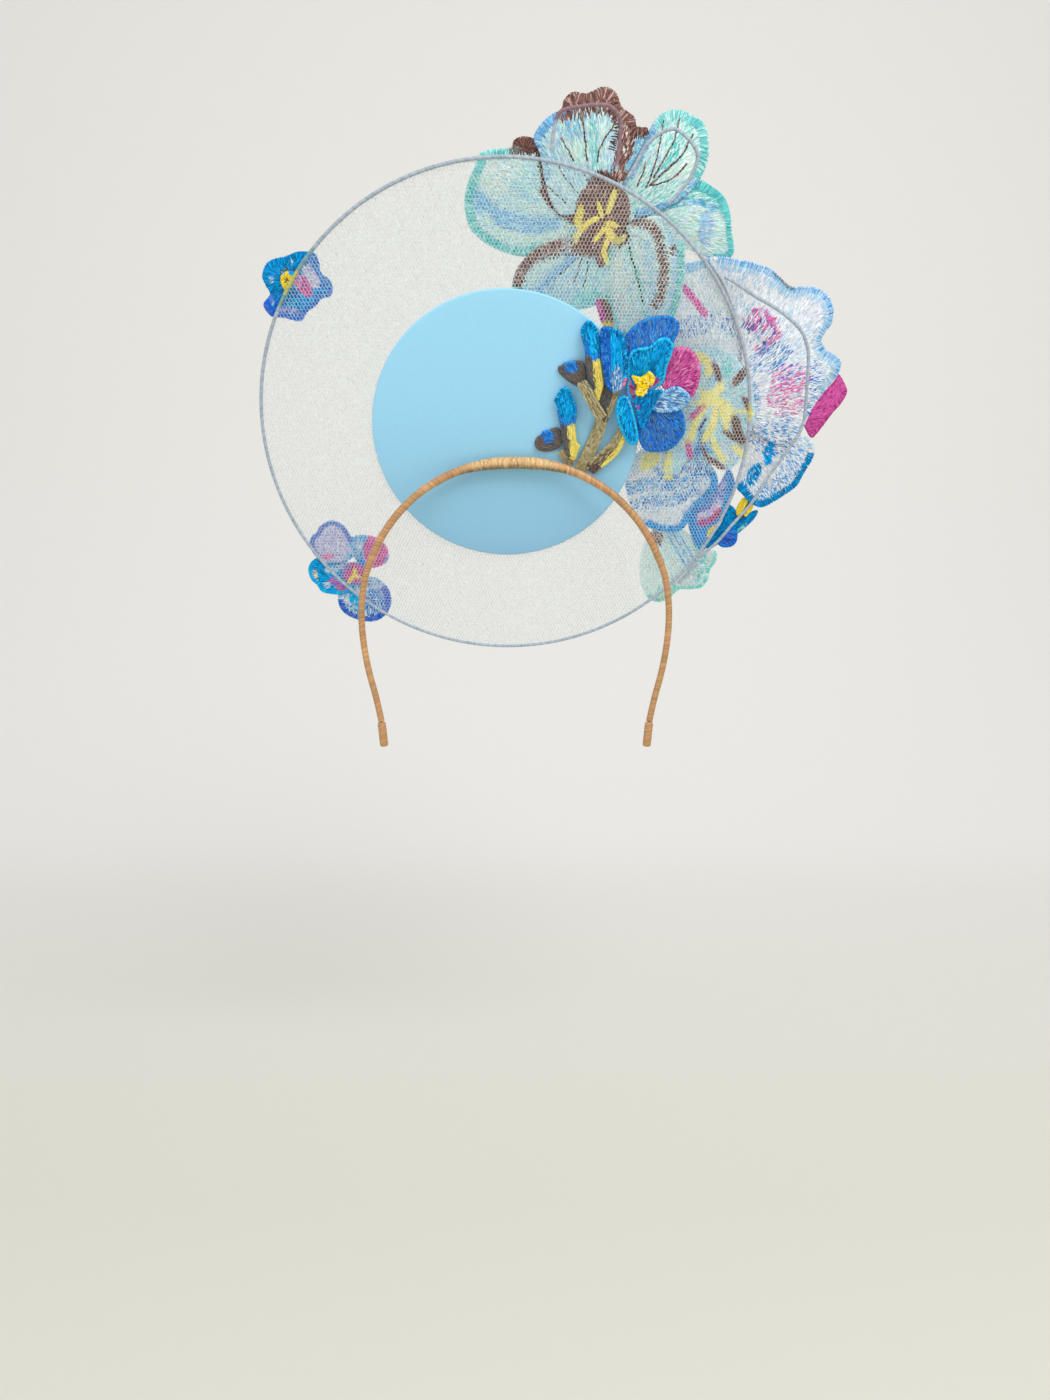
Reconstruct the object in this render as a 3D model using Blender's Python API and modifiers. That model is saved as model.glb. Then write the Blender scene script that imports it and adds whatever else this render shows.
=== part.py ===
"""Fascinator hat: a wrapped headband that carries a leaning round base with a net brim,
a wired rim and embroidered flowers.

Frame: metres, +Z up, +X to the wearer's right, +Y the way the wearer faces. The origin is the
underside of the headband at the top of its arch, where it sits on the head.

The round base, the net and every flower share one leaning plane, the halo plane. In its own
frame it has `across` (+X), `up` (up the plane) and `back` (its normal, towards the wearer's
back). The flowers are sewn in layers on its front, the freesia spray on its back.

The tables give places as they are seen from EYE, a point behind the wearer, in units of a
view 1050 wide and 1400 high; seen_on_halo() and seen_on_band() carry such a place along its
line of sight onto the plane that it belongs to.
"""

import math
from collections import namedtuple

import bpy
from mathutils import Matrix, Vector

NAME = "fascinator_hat"
MM = 0.001

# ---- the viewing point of the tables
EYE = Vector((0.005, -0.540, -0.0454))
EYE_DOWN = math.radians(7.59)
EYE_FOCAL = 1051.0
EYE_MIDDLE = (525.0, 700.0)

# ---- headband
BAND_MIDDLE_SEEN = 515.0
TIP_LENGTH, TIP_WIDTH, TIP_THICKNESS, TIP_ROUND = 13.0 * MM, 4.4 * MM, 4.0 * MM, 1.4 * MM

# ---- halo: round base, net and rim wire
LEAN = math.radians(22.5)  # from upright, top towards the wearer's back
HALO_AT = Vector((0.0, 4.5, 3.5)) * MM  # point of the halo plane in front of the band's top
HALO_CENTRE = (-4.6 * MM, 16.7 * MM)  # across, up
BASE_RADIUS = 66.6 * MM
BASE_BACK, BASE_FRONT = 0.3 * MM, -2.1 * MM
BASE_ROUND = 0.8 * MM
NET_INNER, NET_OUTER = 67.0 * MM, 120.15 * MM
NET_BACK, NET_FRONT = -0.3 * MM, -1.3 * MM
RIM_RADIUS = 121.4 * MM
WIRE_DIAMETER = 1.75 * MM
WIRE_BACK = -0.8 * MM  # height of every wire's centre line
ROUND_STEPS = 56

# ---- sewn pieces
PETAL_WALL = 1.0 * MM
SMALL_PETAL = 10.5 * MM  # a smaller reach needs no ring of places between middle and outline
LAYER = 1.5 * MM
FRONT_LAYER_0 = -3.1 * MM  # middle of the wall of the front layer next to the net
BACK_LAYER_0 = 1.15 * MM
RIM_CURL, RIM_CURL_REACH = 4.0 * MM, 25.0 * MM  # how petals past the rim curl forward

Cup = namedtuple("Cup", "across up reach depth")
FRONT_CUPS = (  # each flower rises gently from its heart: millimetres
    Cup(41.0, 99.6, 42.0, 4.5),
    Cup(99.0, 20.6, 44.0, 4.5),
)
BACK_CUPS = (Cup(66.0, 38.6, 22.0, 2.5),)

# ---- headband arch: level seen, half width seen, for both sides alike, and the bar's diameter in mm,
# thickest where it is bound to the base
Arch = namedtuple("Arch", "level half diameter")
ARCH = (
    Arch(462.0, 0.0, 6.2), Arch(462.6, 18.0, 6.2), Arch(465.0, 36.0, 5.5), Arch(469.5, 54.0, 4.6),
    Arch(477.5, 72.5, 4.2), Arch(492.0, 95.5, 4.0), Arch(511.0, 115.5, 4.0), Arch(530.0, 129.8, 4.0),
    Arch(548.0, 139.5, 3.9), Arch(574.0, 149.5, 3.6), Arch(600.0, 153.4, 3.5), Arch(624.0, 153.6, 3.5),
    Arch(648.0, 151.0, 3.5), Arch(671.0, 146.5, 3.5), Arch(695.0, 140.0, 3.5), Arch(712.0, 136.0, 3.5),
    Arch(720.5, 134.2, 3.5),
)
TIP_END = Arch(747.0, 131.3, 3.5)

# ---- petals: an outline seen from EYE as (across, down) marks around the petal, on a layer.
# side is -1 for the front of the halo and +1 for its back.
Petal = namedtuple("Petal", "name side layer colour middle marks")
TEAL, BROWN, PALE, LILAC = (0.40, 0.74, 0.72), (0.24, 0.12, 0.10), (0.62, 0.74, 0.86), (0.50, 0.52, 0.80)
TURQUOISE, ROYAL, MAGENTA, YELLOW, OLIVE = (0.0, 0.38, 0.68), (0.02, 0.12, 0.60), (0.55, 0.06, 0.25), (0.90, 0.72, 0.05), (0.30, 0.25, 0.09)
PETALS = (
    # teal flower, at the top right of the net
    Petal("teal_centre", -1, 0, BROWN, (603, 214), (
        (583, 190), (598, 184), (612, 184), (626, 194), (630, 210), (625, 228), (612, 240),
        (606, 262), (598, 266), (592, 244), (580, 232), (575, 212))),
    Petal("teal_petal_top", -1, 1, TEAL, (590, 150), (
        (560, 214), (550, 198), (544, 175), (540, 154), (534, 137), (546, 119), (561, 109),
        (564, 100), (573, 92), (587, 93.5), (603, 87), (615.5, 92), (622, 107), (634, 117),
        (637, 127), (648, 129), (641, 148), (630, 168), (620, 188), (605, 209), (590, 210), (575, 214))),
    Petal("teal_petal_left", -1, 2, TEAL, (520, 200), (
        (541, 151), (552, 170), (566, 195), (582, 212), (580, 230), (560, 242), (541, 250),
        (525.7, 256.7), (508, 253.5), (493, 247.6), (480, 239), (470.6, 229), (466, 215),
        (464.5, 202.7), (467, 187), (473, 170), (481, 153), (498, 149), (511, 147.6), (514, 140.5),
        (521, 136.8), (530, 137.3), (538, 142))),
    Petal("teal_petal_corner", -1, 3, TEAL, (664, 165), (
        (612, 212), (618, 195), (628, 172), (640, 150), (648, 133), (656.3, 119), (666.5, 111.8),
        (678.8, 109.8), (689, 113.9), (701, 120), (707.3, 133.3), (708.4, 155.7), (700, 179),
        (685, 196.5), (664.5, 208.8), (645, 216), (626, 222))),
    Petal("teal_petal_right", -1, 4, TEAL, (690, 220), (
        (699, 180), (711.4, 186.3), (723.7, 196.5), (729.8, 212.9), (731.8, 233), (734, 249.6),
        (729.8, 257.5), (715, 260), (700, 254), (680, 247), (655, 240), (632, 234), (622, 226),
        (626, 215), (640, 208), (662, 198), (682, 186))),
    Petal("teal_petal_low_right", -1, 2, TEAL, (645, 280), (
        (606, 238), (602, 262), (601, 285), (604, 305), (610, 325), (622, 338), (640, 342),
        (658, 336), (670, 324), (677, 310), (682, 292), (685, 270), (684, 245), (675, 224),
        (655, 216), (635, 222), (618, 230))),
    Petal("teal_petal_low_left", -1, 1, TEAL, (560, 272), (
        (590, 236), (574, 236), (558.4, 239.4), (543, 245), (529.8, 253.7), (518, 267),
        (512.4, 286), (520, 300), (540, 308), (560, 311), (583, 309), (599, 303), (607, 290),
        (608, 270), (606, 252), (602, 240))),
    Petal("teal_centre_front", -1, 5, BROWN, (602, 214), (
        (585, 198), (598, 190), (612, 191), (624, 202), (625, 220), (612, 234), (604, 247),
        (594, 240), (583, 228), (579, 212))),
    Petal("slip_bud", -1, 0, MAGENTA, (605, 314), (
        (596, 301), (604, 299), (610, 306), (613, 318), (613, 329), (604, 327), (599, 315))),
    # pale flower, on the right of the rim
    Petal("pale_centre", -1, 0, YELLOW, (712, 405), (
        (690, 352), (715, 346), (738, 360), (750, 385), (755, 408), (750, 435), (742, 456),
        (728, 470), (714, 462), (700, 455), (686, 462), (676, 474), (664, 470), (668, 450),
        (676, 430), (674, 405), (680, 375))),
    Petal("pale_centre_front", -1, 4, YELLOW, (713, 408), (
        (698, 378), (716, 372), (734, 382), (744, 400), (740, 422), (730, 442), (714, 446),
        (698, 438), (686, 422), (686, 396))),
    Petal("pale_petal_right", -1, 1, PALE, (786, 352), (
        (722, 257), (740.4, 260), (757.9, 264), (771, 269.5), (780, 277), (791, 286.5),
        (807.4, 286.5), (820.8, 289.6), (830, 299), (833.5, 311), (831.5, 323), (824.8, 332.4),
        (821.5, 341), (826, 349.8), (836.9, 356.5), (841, 364), (837, 378), (827.5, 397.4),
        (825, 410), (815.4, 423), (801, 437), (785, 444), (768, 440), (750, 428), (736, 416),
        (732, 392), (738, 365), (738, 338), (732, 310), (725, 282))),
    Petal("pale_petal_upper", -1, 3, PALE, (712, 330), (
        (684, 266), (697, 261), (712, 257.5), (726, 258), (738, 266), (745, 285), (750, 310),
        (752, 340), (750, 370), (742, 392), (725, 392), (705, 393), (685, 392), (672, 380),
        (666, 360), (668, 335), (676, 310), (680, 286))),
    Petal("pale_petal_side", -1, 2, PALE, (778, 465), (
        (800, 434), (808, 438), (814, 446), (812.8, 457), (803.4, 474), (796.7, 486), (784.6, 495),
        (771, 503), (760.5, 507), (751, 503), (743, 495), (736.4, 486), (740, 467), (747, 447),
        (752, 430), (766, 422), (785, 426))),
    Petal("pale_petal_low", -1, 1, PALE, (672, 492), (
        (634, 456), (626, 475), (627, 495), (633, 508), (640, 516), (646, 526), (660, 531.3),
        (676, 532.7), (685.5, 526), (692, 514), (703, 503), (715, 491), (717.7, 479), (712, 466),
        (700, 452), (688, 440), (672, 438), (654, 443))),
    Petal("magenta_petal", -1, 2, MAGENTA, (822, 406), (
        (838, 374), (845, 384.6), (847, 392.7), (841, 403.4), (832.8, 412.8), (818, 432),
        (811.4, 437.6), (806, 430), (802, 418), (806, 400), (815, 385), (828, 376))),
    # freesia spray, on the back of the round base and net
    Petal("freesia_petal_back", 1, 0, ROYAL, (650, 340), (
        (624, 347), (626, 335), (637, 323), (651.5, 317), (667.3, 315.8), (677, 320.6),
        (679.4, 328), (675, 340), (666, 354), (650, 360), (632, 362))),
    Petal("freesia_petal_upper", 1, 1, TURQUOISE, (645, 370), (
        (627, 382), (627, 366), (628.5, 356), (635, 348.5), (649, 346), (658.8, 338.8), (667.3, 337.6),
        (673.3, 343.6), (672, 353.3), (667.3, 366.7), (664, 381), (656, 388), (648, 392), (641, 400),
        (633, 403), (627, 393))),
    Petal("freesia_petal_magenta", 1, 0, MAGENTA, (681, 370), (
        (674, 349), (685.5, 347.5), (695, 354.5), (700, 366.7), (698.8, 382.4), (692, 397),
        (680, 394), (666, 390), (660, 380), (666, 364))),
    Petal("freesia_petal_pale", 1, 1, PALE, (667, 400), (
        (655, 400), (660, 394), (668, 389), (679.4, 387), (690.3, 397), (680.6, 409), (667.3, 412.7),
        (652.7, 410.3))),
    Petal("freesia_petal_low", 1, 0, ROYAL, (661, 428), (
        (650, 404), (664, 402), (679, 406), (685.5, 426), (679.4, 440.6), (667.3, 450.3),
        (649, 451.5), (640.6, 444.2), (637, 428.5), (641, 414))),
    Petal("freesia_petal_left", 1, 2, TURQUOISE, (614, 358), (
        (600.6, 331), (605, 326.5), (613, 328), (622, 333), (626, 348.5), (627.3, 368), (626, 384),
        (619, 391), (609, 390), (604, 375), (601, 352))),
    Petal("freesia_petal_front", 1, 2, TURQUOISE, (627, 419), (
        (623, 396), (617.5, 401), (616, 412), (618.5, 424.8), (624.8, 438.2), (632, 444.5),
        (638.2, 439.4), (636.6, 425), (633.2, 411), (629, 398))),
    Petal("freesia_petal_fold", 1, 2, TURQUOISE, (645, 402), (
        (635, 398), (646, 391.5), (662.4, 390), (658, 399), (651, 412), (642, 429), (636.5, 414))),
    Petal("freesia_stamens", 1, 3, YELLOW, (643, 384), (
        (632, 376), (641, 377), (650, 372), (655, 379), (649, 386), (643, 396), (636, 393), (637, 385))),
    Petal("bud_top", 1, 1, TURQUOISE, (593, 360), (
        (588, 320.5), (582.5, 326), (580.8, 333), (583, 343), (585.2, 352), (585.5, 365), (587.5, 378),
        (592, 386), (594.5, 394), (598.3, 401), (601.3, 393), (603.5, 384), (602, 370), (600.4, 359),
        (600.8, 347), (599.8, 337), (596.5, 328), (592.5, 322.5))),
    Petal("bud_second", 1, 0, ROYAL, (573, 370), (
        (558.3, 367), (562, 365.5), (565, 363), (572, 361.3), (578, 360.8), (583, 362.5), (586, 370),
        (586, 379), (582, 386.5), (577, 386), (570, 382.5), (564, 378), (559, 372.5))),
    Petal("bud_third", 1, 1, TURQUOISE, (567.5, 424), (
        (565.5, 387), (560, 390), (556, 397), (554, 401.5), (557, 404), (557.5, 412), (559, 420),
        (560.8, 428), (562, 440), (565, 450), (570, 458.5), (575, 459.5), (577.5, 452), (580, 446),
        (577, 442), (575.5, 432), (575, 424), (576.7, 416), (576, 406), (572.5, 396), (570, 390))),
    Petal("bud_low", 1, 0, ROYAL, (549, 438), (
        (535, 442), (537, 437.5), (541, 435), (543, 431.5), (549, 430), (553.5, 428.5), (558, 428.3),
        (561.5, 433), (562.3, 440), (560.5, 446.5), (555.5, 449.5), (548, 451.5), (540, 450.5),
        (536, 447.5))),
    # small pansy on the left of the rim
    Petal("pansy_petals", -1, 1, ROYAL, (295, 286), (
        (262.5, 275.6), (266.7, 263.7), (275, 258.8), (285, 256.7), (298, 251.8), (313, 253.2),
        (318, 259), (321, 272), (330.5, 280.5), (332.6, 289.6), (330, 296), (320.7, 299.5),
        (315.8, 305.8), (307.4, 312), (303, 319), (297.5, 321.2), (285, 318), (272.3, 316.3),
        (265.3, 309.3), (263.9, 303), (270.2, 294), (266, 285.4))),
    Petal("pansy_heart", -1, 0, YELLOW, (290, 281), (
        (281, 276), (289, 271), (299, 275), (302, 284), (294, 291), (284, 289))),
    # flower on the lower left of the rim
    Petal("left_petal_lilac", -1, 1, LILAC, (332, 543), (
        (309.6, 542.5), (311.8, 536.5), (316.5, 532.5), (319.5, 527), (324, 523), (331.5, 520.4),
        (338, 522), (343.8, 525.5), (347.8, 531), (351.5, 538), (355, 545), (356, 553), (350, 559),
        (338, 562), (322, 561), (312.5, 552))),
    Petal("left_petal_magenta", -1, 2, MAGENTA, (368, 552), (
        (350, 539), (360, 535.5), (374, 537), (386, 546), (388, 560), (376, 567.5), (362, 566),
        (352.5, 554))),
    Petal("left_petal_turquoise", -1, 2, TURQUOISE, (333, 576), (
        (313.4, 560), (308.5, 569), (311.6, 579.5), (317.5, 585), (323.2, 592), (339, 594.6), (350, 592),
        (357, 583), (357.5, 572), (350, 562.5), (340, 557.5), (325, 556))),
    Petal("left_petal_low", -1, 3, ROYAL, (364, 598), (
        (340, 590), (338.4, 602), (343, 611.6), (353.6, 618), (368, 621.4), (382, 618), (391, 605),
        (388, 588), (374, 577), (356, 578))),
    Petal("left_heart", -1, 0, YELLOW, (353, 574), (
        (343, 570), (352, 562), (363, 566), (366, 576), (358, 585), (346, 582))),
    # flower on the lower right of the rim, under the pale one
    Petal("low_petal_violet", -1, 2, LILAC, (708, 518), (
        (728, 469), (734, 478), (734, 492), (728, 505), (720, 522), (708, 545), (699, 549),
        (691, 535), (688, 518), (694, 507), (706, 497), (719, 484))),
    Petal("low_petal_turquoise", -1, 4, TURQUOISE, (733, 525), (
        (729, 505), (741, 514), (757, 510), (753, 520), (737, 534), (720, 543), (705, 551),
        (713, 536), (722, 522))),
    Petal("low_petal_royal", -1, 3, ROYAL, (728, 538), (
        (720, 536), (728, 530), (736, 531), (737, 539), (732, 546), (722, 547), (717, 542))),
    Petal("low_stamens", -1, 3, YELLOW, (744, 508), (
        (743, 498), (753, 504), (749, 513), (741, 518), (736, 511))),
    Petal("mint_petal", -1, 3, TEAL, (680, 562), (
        (655, 528), (670, 526), (684, 530), (696, 541), (708, 549), (716.5, 552), (715.5, 562),
        (710.4, 569), (707.3, 580), (701, 587.3), (689, 589.4), (678.8, 589.4), (670.6, 596.5),
        (660, 601.6), (648, 598), (641, 584), (640, 562), (645, 542))),
)

# ---- stems, seen from EYE on a back layer: a route, with the stem's width at each place
Stem = namedtuple("Stem", "name layer route")
Place = namedtuple("Place", "across down width")
STEMS = (
    Stem("stem_main", 0, (
        Place(609.5, 387, 12.0), Place(609, 396, 16.0), Place(606, 408, 12.0), Place(602, 420, 10.0),
        Place(597.5, 433, 10.5), Place(592, 446, 11.0), Place(585, 460, 11.0), Place(581, 468, 11.0))),
    Stem("stem_branch", 2, (
        Place(582, 383, 8.0), Place(587, 392, 9.0), Place(593.5, 404, 9.0), Place(601.5, 417, 9.0))),
    Stem("stem_low", 0, (
        Place(563, 450.5, 10.0), Place(567, 457, 10.0), Place(571, 464, 8.0))),
    Stem("stem_side", 1, (
        Place(622.5, 427, 6.0), Place(620, 437, 9.0), Place(614.5, 447, 12.0), Place(605.5, 456, 13.0),
        Place(597, 463, 12.0), Place(591, 470, 9.0))),
)

# ---- wires that stiffen petals past the rim, seen from EYE; both ends stop at the rim wire
Wire = namedtuple("Wire", "name marks")
WIRES = (
    Wire("top_petal_wire", ((551.5, 151), (554.3, 129), (560.4, 112), (578.8, 106.7), (603, 104.7),
                            (613.5, 108.8), (620.6, 121), (619.6, 141.4), (616.3, 171.5))),
    Wire("corner_petal_wire", ((628, 177.5), (636, 164), (646, 145.5), (660.4, 133.3), (674.7, 129),
                               (687, 137.3), (696, 149.6), (697, 161.8), (689, 180), (678, 193.5), (668.5, 204))),
    Wire("side_wire", ((724.5, 277), (733.7, 281.5), (755, 296), (774, 307), (790, 319), (802, 332),
                       (807.4, 347), (808.5, 360.5), (807.4, 380.6), (806, 400.7), (804, 420),
                       (799, 433.6), (791, 445.6), (780.6, 460.4), (768.6, 476.4), (754, 499.5),
                       (742, 514), (731.8, 525), (717.6, 541.4), (701, 556.7), (688, 573), (679, 583))),
)


# ---------------------------------------------------------------- frames and sight lines
RIGHT = Vector((1.0, 0.0, 0.0))
UP_PLANE = Vector((0.0, -math.sin(LEAN), math.cos(LEAN)))
BACK = RIGHT.cross(UP_PLANE)
HALO = Matrix.Translation(HALO_AT) @ Matrix((RIGHT, UP_PLANE, BACK)).transposed().to_4x4()


def sight(mark):
    """Direction from EYE of a place in the view."""
    right = mark[0] - EYE_MIDDLE[0]
    rise = EYE_MIDDLE[1] - mark[1]
    ahead = Vector((0.0, math.cos(EYE_DOWN), -math.sin(EYE_DOWN)))
    above = Vector((0.0, math.sin(EYE_DOWN), math.cos(EYE_DOWN)))
    return ahead * EYE_FOCAL + above * rise + RIGHT * right


def seen_on_band(mark):
    """Where a sight line meets the upright plane of the headband."""
    ray = sight(mark)
    return EYE + ray * (-EYE.y / ray.y)


def seen_on_halo(mark, height):
    """Where a sight line meets the surface back = height(across, up) of the halo's frame."""
    inverse = HALO.inverted()
    start = inverse @ EYE
    ray = inverse.to_3x3() @ sight(mark)
    across = up = 0.0
    for _ in range(6):
        along = (height(across, up) - start.z) / ray.z
        across, up = start.x + ray.x * along, start.y + ray.y * along
    return across, up


def cup_rise(cups, across, up):
    """Gentle cup of each flower: nothing at its heart, most at its reach, fading beyond."""
    rise = 0.0
    for cup in cups:
        far = ((across / MM - cup.across) ** 2 + (up / MM - cup.up) ** 2) / cup.reach ** 2
        rise += cup.depth * MM * far * math.exp(1.0 - far)
    return rise


def layer_height(side, layer):
    """Height of a sewn layer over the halo plane, as a function of the place on it."""

    def height(across, up):
        if side > 0:
            return BACK_LAYER_0 + layer * LAYER + cup_rise(BACK_CUPS, across, up)
        beyond = math.hypot(across - HALO_CENTRE[0], up - HALO_CENTRE[1]) - RIM_RADIUS
        curl = RIM_CURL * (max(beyond, 0.0) / RIM_CURL_REACH) ** 2
        return FRONT_LAYER_0 - layer * LAYER - cup_rise(FRONT_CUPS, across, up) - curl

    return height


def through(points, steps, closed):
    """A smooth curve through points (Catmull-Rom), steps places for each span."""
    count = len(points)
    spans = count if closed else count - 1
    places = []
    for k in range(spans):
        quad = [points[(k + j) % count] if closed else points[min(max(k + j, 0), count - 1)] for j in (-1, 0, 1, 2)]
        for s in range(steps):
            t = s / steps
            places.append(tuple(
                0.5 * (2 * q1 + (q2 - q0) * t + (2 * q0 - 5 * q1 + 4 * q2 - q3) * t * t + (3 * q1 - q0 - 3 * q2 + q3) * t ** 3)
                for q0, q1, q2, q3 in zip(*quad)
            ))
    if not closed:
        places.append(tuple(points[-1]))
    return places


# ---------------------------------------------------------------- Blender helpers
def material(name, colour, roughness=0.85, metallic=0.0):
    mat = bpy.data.materials.new(name)
    mat.use_nodes = True
    shader = mat.node_tree.nodes["Principled BSDF"]
    shader.inputs["Base Color"].default_value = (*colour, 1.0)
    shader.inputs["Roughness"].default_value = roughness
    shader.inputs["Metallic"].default_value = metallic
    return mat


def add(name, data, mat, collection, parent=None):
    obj = bpy.data.objects.new(name, data)
    data.materials.append(mat)
    collection.objects.link(obj)
    obj.parent = parent
    return obj


def sheet_mesh(name, rows, closed_rows):
    """An open surface: faces between successive rows of places."""
    verts = [place for row in rows for place in row]
    faces, start = [], 0
    for upper, lower in zip(rows, rows[1:]):
        following = start + len(upper)
        width = len(lower)
        for i in range(width if closed_rows else width - 1):
            j = (i + 1) % width
            if len(upper) == 1:
                faces.append((start, following + i, following + j))
            else:
                faces.append((start + i, following + i, following + j, start + j))
        start = following
    mesh = bpy.data.meshes.new(name)
    mesh.from_pydata(verts, [], faces)
    return mesh


def thicken(obj, wall):
    solid = obj.modifiers.new("wall", "SOLIDIFY")
    solid.thickness = wall
    solid.offset = 0.0
    obj.data.shade_smooth()


def wire(name, points, radii, mat, collection, parent=None, cyclic=False):
    curve = bpy.data.curves.new(name, "CURVE")
    curve.dimensions = "3D"
    curve.bevel_depth = 1.0
    curve.bevel_resolution = 2
    curve.use_fill_caps = not cyclic
    spline = curve.splines.new("POLY")
    spline.points.add(len(points) - 1)
    for point, place, radius in zip(spline.points, points, radii):
        point.co = (*place, 1.0)
        point.radius = radius
    spline.use_cyclic_u = cyclic
    return add(name, curve, mat, collection, parent)


def turned(name, profile, mat, collection, parent, at):
    """A profile of (radius, height) turned about the halo's normal."""
    mesh = bpy.data.meshes.new(name)
    mesh.from_pydata([(r, 0.0, h) for r, h in profile], [(i, i + 1) for i in range(len(profile) - 1)], [])
    obj = add(name, mesh, mat, collection, parent)
    obj.location = (*at, 0.0)
    screw = obj.modifiers.new("turn", "SCREW")
    screw.steps = screw.render_steps = ROUND_STEPS
    screw.use_merge_vertices = True
    screw.merge_threshold = 0.00001
    screw.use_smooth_shade = True
    return obj


# ---------------------------------------------------------------- the pieces
def headband(collection, gold):
    half = [seen_on_band((BAND_MIDDLE_SEEN + row.half, row.level)) for row in ARCH]
    middle = seen_on_band((BAND_MIDDLE_SEEN, ARCH[0].level))
    rise = ARCH[0].diameter * MM / 2 - middle.z
    right = [Vector((p.x - middle.x, 0.0, p.z + rise)) for p in half]
    left = [Vector((-p.x, 0.0, p.z)) for p in reversed(right[1:])]
    thick = [row.diameter * MM for row in ARCH]
    bar = through([(*p, d) for p, d in zip(left + right, thick[:0:-1] + thick)], 2, False)
    wire("headband", [row[:3] for row in bar], [row[3] / 2 for row in bar], gold, collection)
    end = seen_on_band((BAND_MIDDLE_SEEN + TIP_END.half, TIP_END.level))
    end = Vector((end.x - middle.x, 0.0, end.z + rise))
    start = right[-1]
    along = (end - start).normalized()
    for name, sign in (("band_tip_left", -1.0), ("band_tip_right", 1.0)):
        axis = Vector((along.x * sign, 0.0, along.z))
        centre = Vector((start.x * sign, 0.0, start.z)) + axis * (0.35 * MM + TIP_LENGTH / 2)
        bpy.ops.mesh.primitive_cube_add(size=1.0)
        tip = bpy.context.object
        tip.name = tip.data.name = name
        tip.data.transform(Matrix.Diagonal((TIP_WIDTH, TIP_THICKNESS, TIP_LENGTH, 1.0)))
        tip.location = centre
        tip.rotation_mode = "QUATERNION"
        tip.rotation_quaternion = axis.to_track_quat("-Z", "Y")
        edge = tip.modifiers.new("rounded", "BEVEL")
        edge.width = TIP_ROUND
        edge.segments = 3
        edge.limit_method = "NONE"
        tip.data.materials.append(gold)
        for other in list(tip.users_collection):
            other.objects.unlink(tip)
        collection.objects.link(tip)


def halo_parts(collection, halo, blue, net, grey):
    r, top, bottom, edge = BASE_RADIUS, BASE_BACK, BASE_FRONT, BASE_ROUND
    turned("round_base", [(0.0, top), (r - edge, top), (r, top - edge), (r, bottom + edge), (r - edge, bottom),
                          (0.0, bottom)], blue, collection, halo, HALO_CENTRE)
    turned("net_brim", [(NET_INNER, NET_BACK), (NET_OUTER, NET_BACK), (NET_OUTER, NET_FRONT),
                        (NET_INNER, NET_FRONT), (NET_INNER, NET_BACK)], net, collection, halo, HALO_CENTRE)
    ring = [(HALO_CENTRE[0] + RIM_RADIUS * math.sin(math.tau * i / ROUND_STEPS),
             HALO_CENTRE[1] + RIM_RADIUS * math.cos(math.tau * i / ROUND_STEPS), WIRE_BACK) for i in range(ROUND_STEPS)]
    wire("brim_wire", ring, [WIRE_DIAMETER / 2] * len(ring), grey, collection, halo, cyclic=True)
    for row in WIRES:
        marks = through(row.marks, 2 if len(row.marks) < 12 else 1, False)
        route = [(*seen_on_halo(mark, lambda a, u: WIRE_BACK), WIRE_BACK) for mark in marks]
        wire(row.name, route, [WIRE_DIAMETER / 2] * len(route), grey, collection, halo)


def petal(row, collection, halo, mat):
    """A thin shell inside the petal's outline, following the surface of its layer."""
    height = layer_height(row.side, row.layer)
    outline = [seen_on_halo(mark, height) for mark in through(row.marks, 2 if len(row.marks) < 16 else 1, True)]
    across, up = seen_on_halo(row.middle, height)
    rows = [[(across, up, height(across, up))]]
    reach = max(math.hypot(a - across, u - up) for a, u in outline)
    for part in (1.0,) if reach < SMALL_PETAL else (0.55, 1.0):
        ring = []
        for a, u in outline:
            a, u = across + (a - across) * part, up + (u - up) * part
            ring.append((a, u, height(a, u)))
        rows.append(ring)
    obj = add(row.name, sheet_mesh(row.name, rows, True), mat, collection, halo)
    thicken(obj, PETAL_WALL)


def stem(row, collection, halo, mat):
    """A narrow strip along its route."""
    height = layer_height(1, row.layer)
    left, right = [], []
    route = [Place(*place) for place in through(row.route, 2, False)]
    for k, mark in enumerate(route):
        before, after = route[max(k - 1, 0)], route[min(k + 1, len(route) - 1)]
        run = Vector((after.across - before.across, after.down - before.down)).normalized() * mark.width / 2
        for side, line in ((1, left), (-1, right)):
            a, u = seen_on_halo((mark.across - side * run.y, mark.down + side * run.x), height)
            line.append((a, u, height(a, u)))
    obj = add(row.name, sheet_mesh(row.name, [left, right], False), mat, collection, halo)
    thicken(obj, PETAL_WALL)


def main():
    for obj in list(bpy.data.objects):
        bpy.data.objects.remove(obj)
    collection = bpy.data.collections.new(NAME)
    bpy.context.scene.collection.children.link(collection)
    halo = bpy.data.objects.new("halo", None)
    halo.matrix_world = HALO
    collection.objects.link(halo)
    bpy.context.view_layer.update()
    gold = material("gold_thread", (0.53, 0.32, 0.14), 0.5)
    grey = material("bound_wire", (0.36, 0.42, 0.50), 0.7)
    blue = material("blue_felt", (0.33, 0.63, 0.84), 0.9)
    net = material("net", (0.62, 0.68, 0.70), 0.8)
    headband(collection, gold)
    halo_parts(collection, halo, blue, net, grey)
    thread = {}
    for row in PETALS:
        mat = thread.setdefault(row.colour, None) or material("thread_%02d" % len(thread), row.colour, 0.7)
        thread[row.colour] = mat
        petal(row, collection, halo, mat)
    olive = material("olive_thread", OLIVE, 0.7)
    for row in STEMS:
        stem(row, collection, halo, olive)


main()
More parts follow.
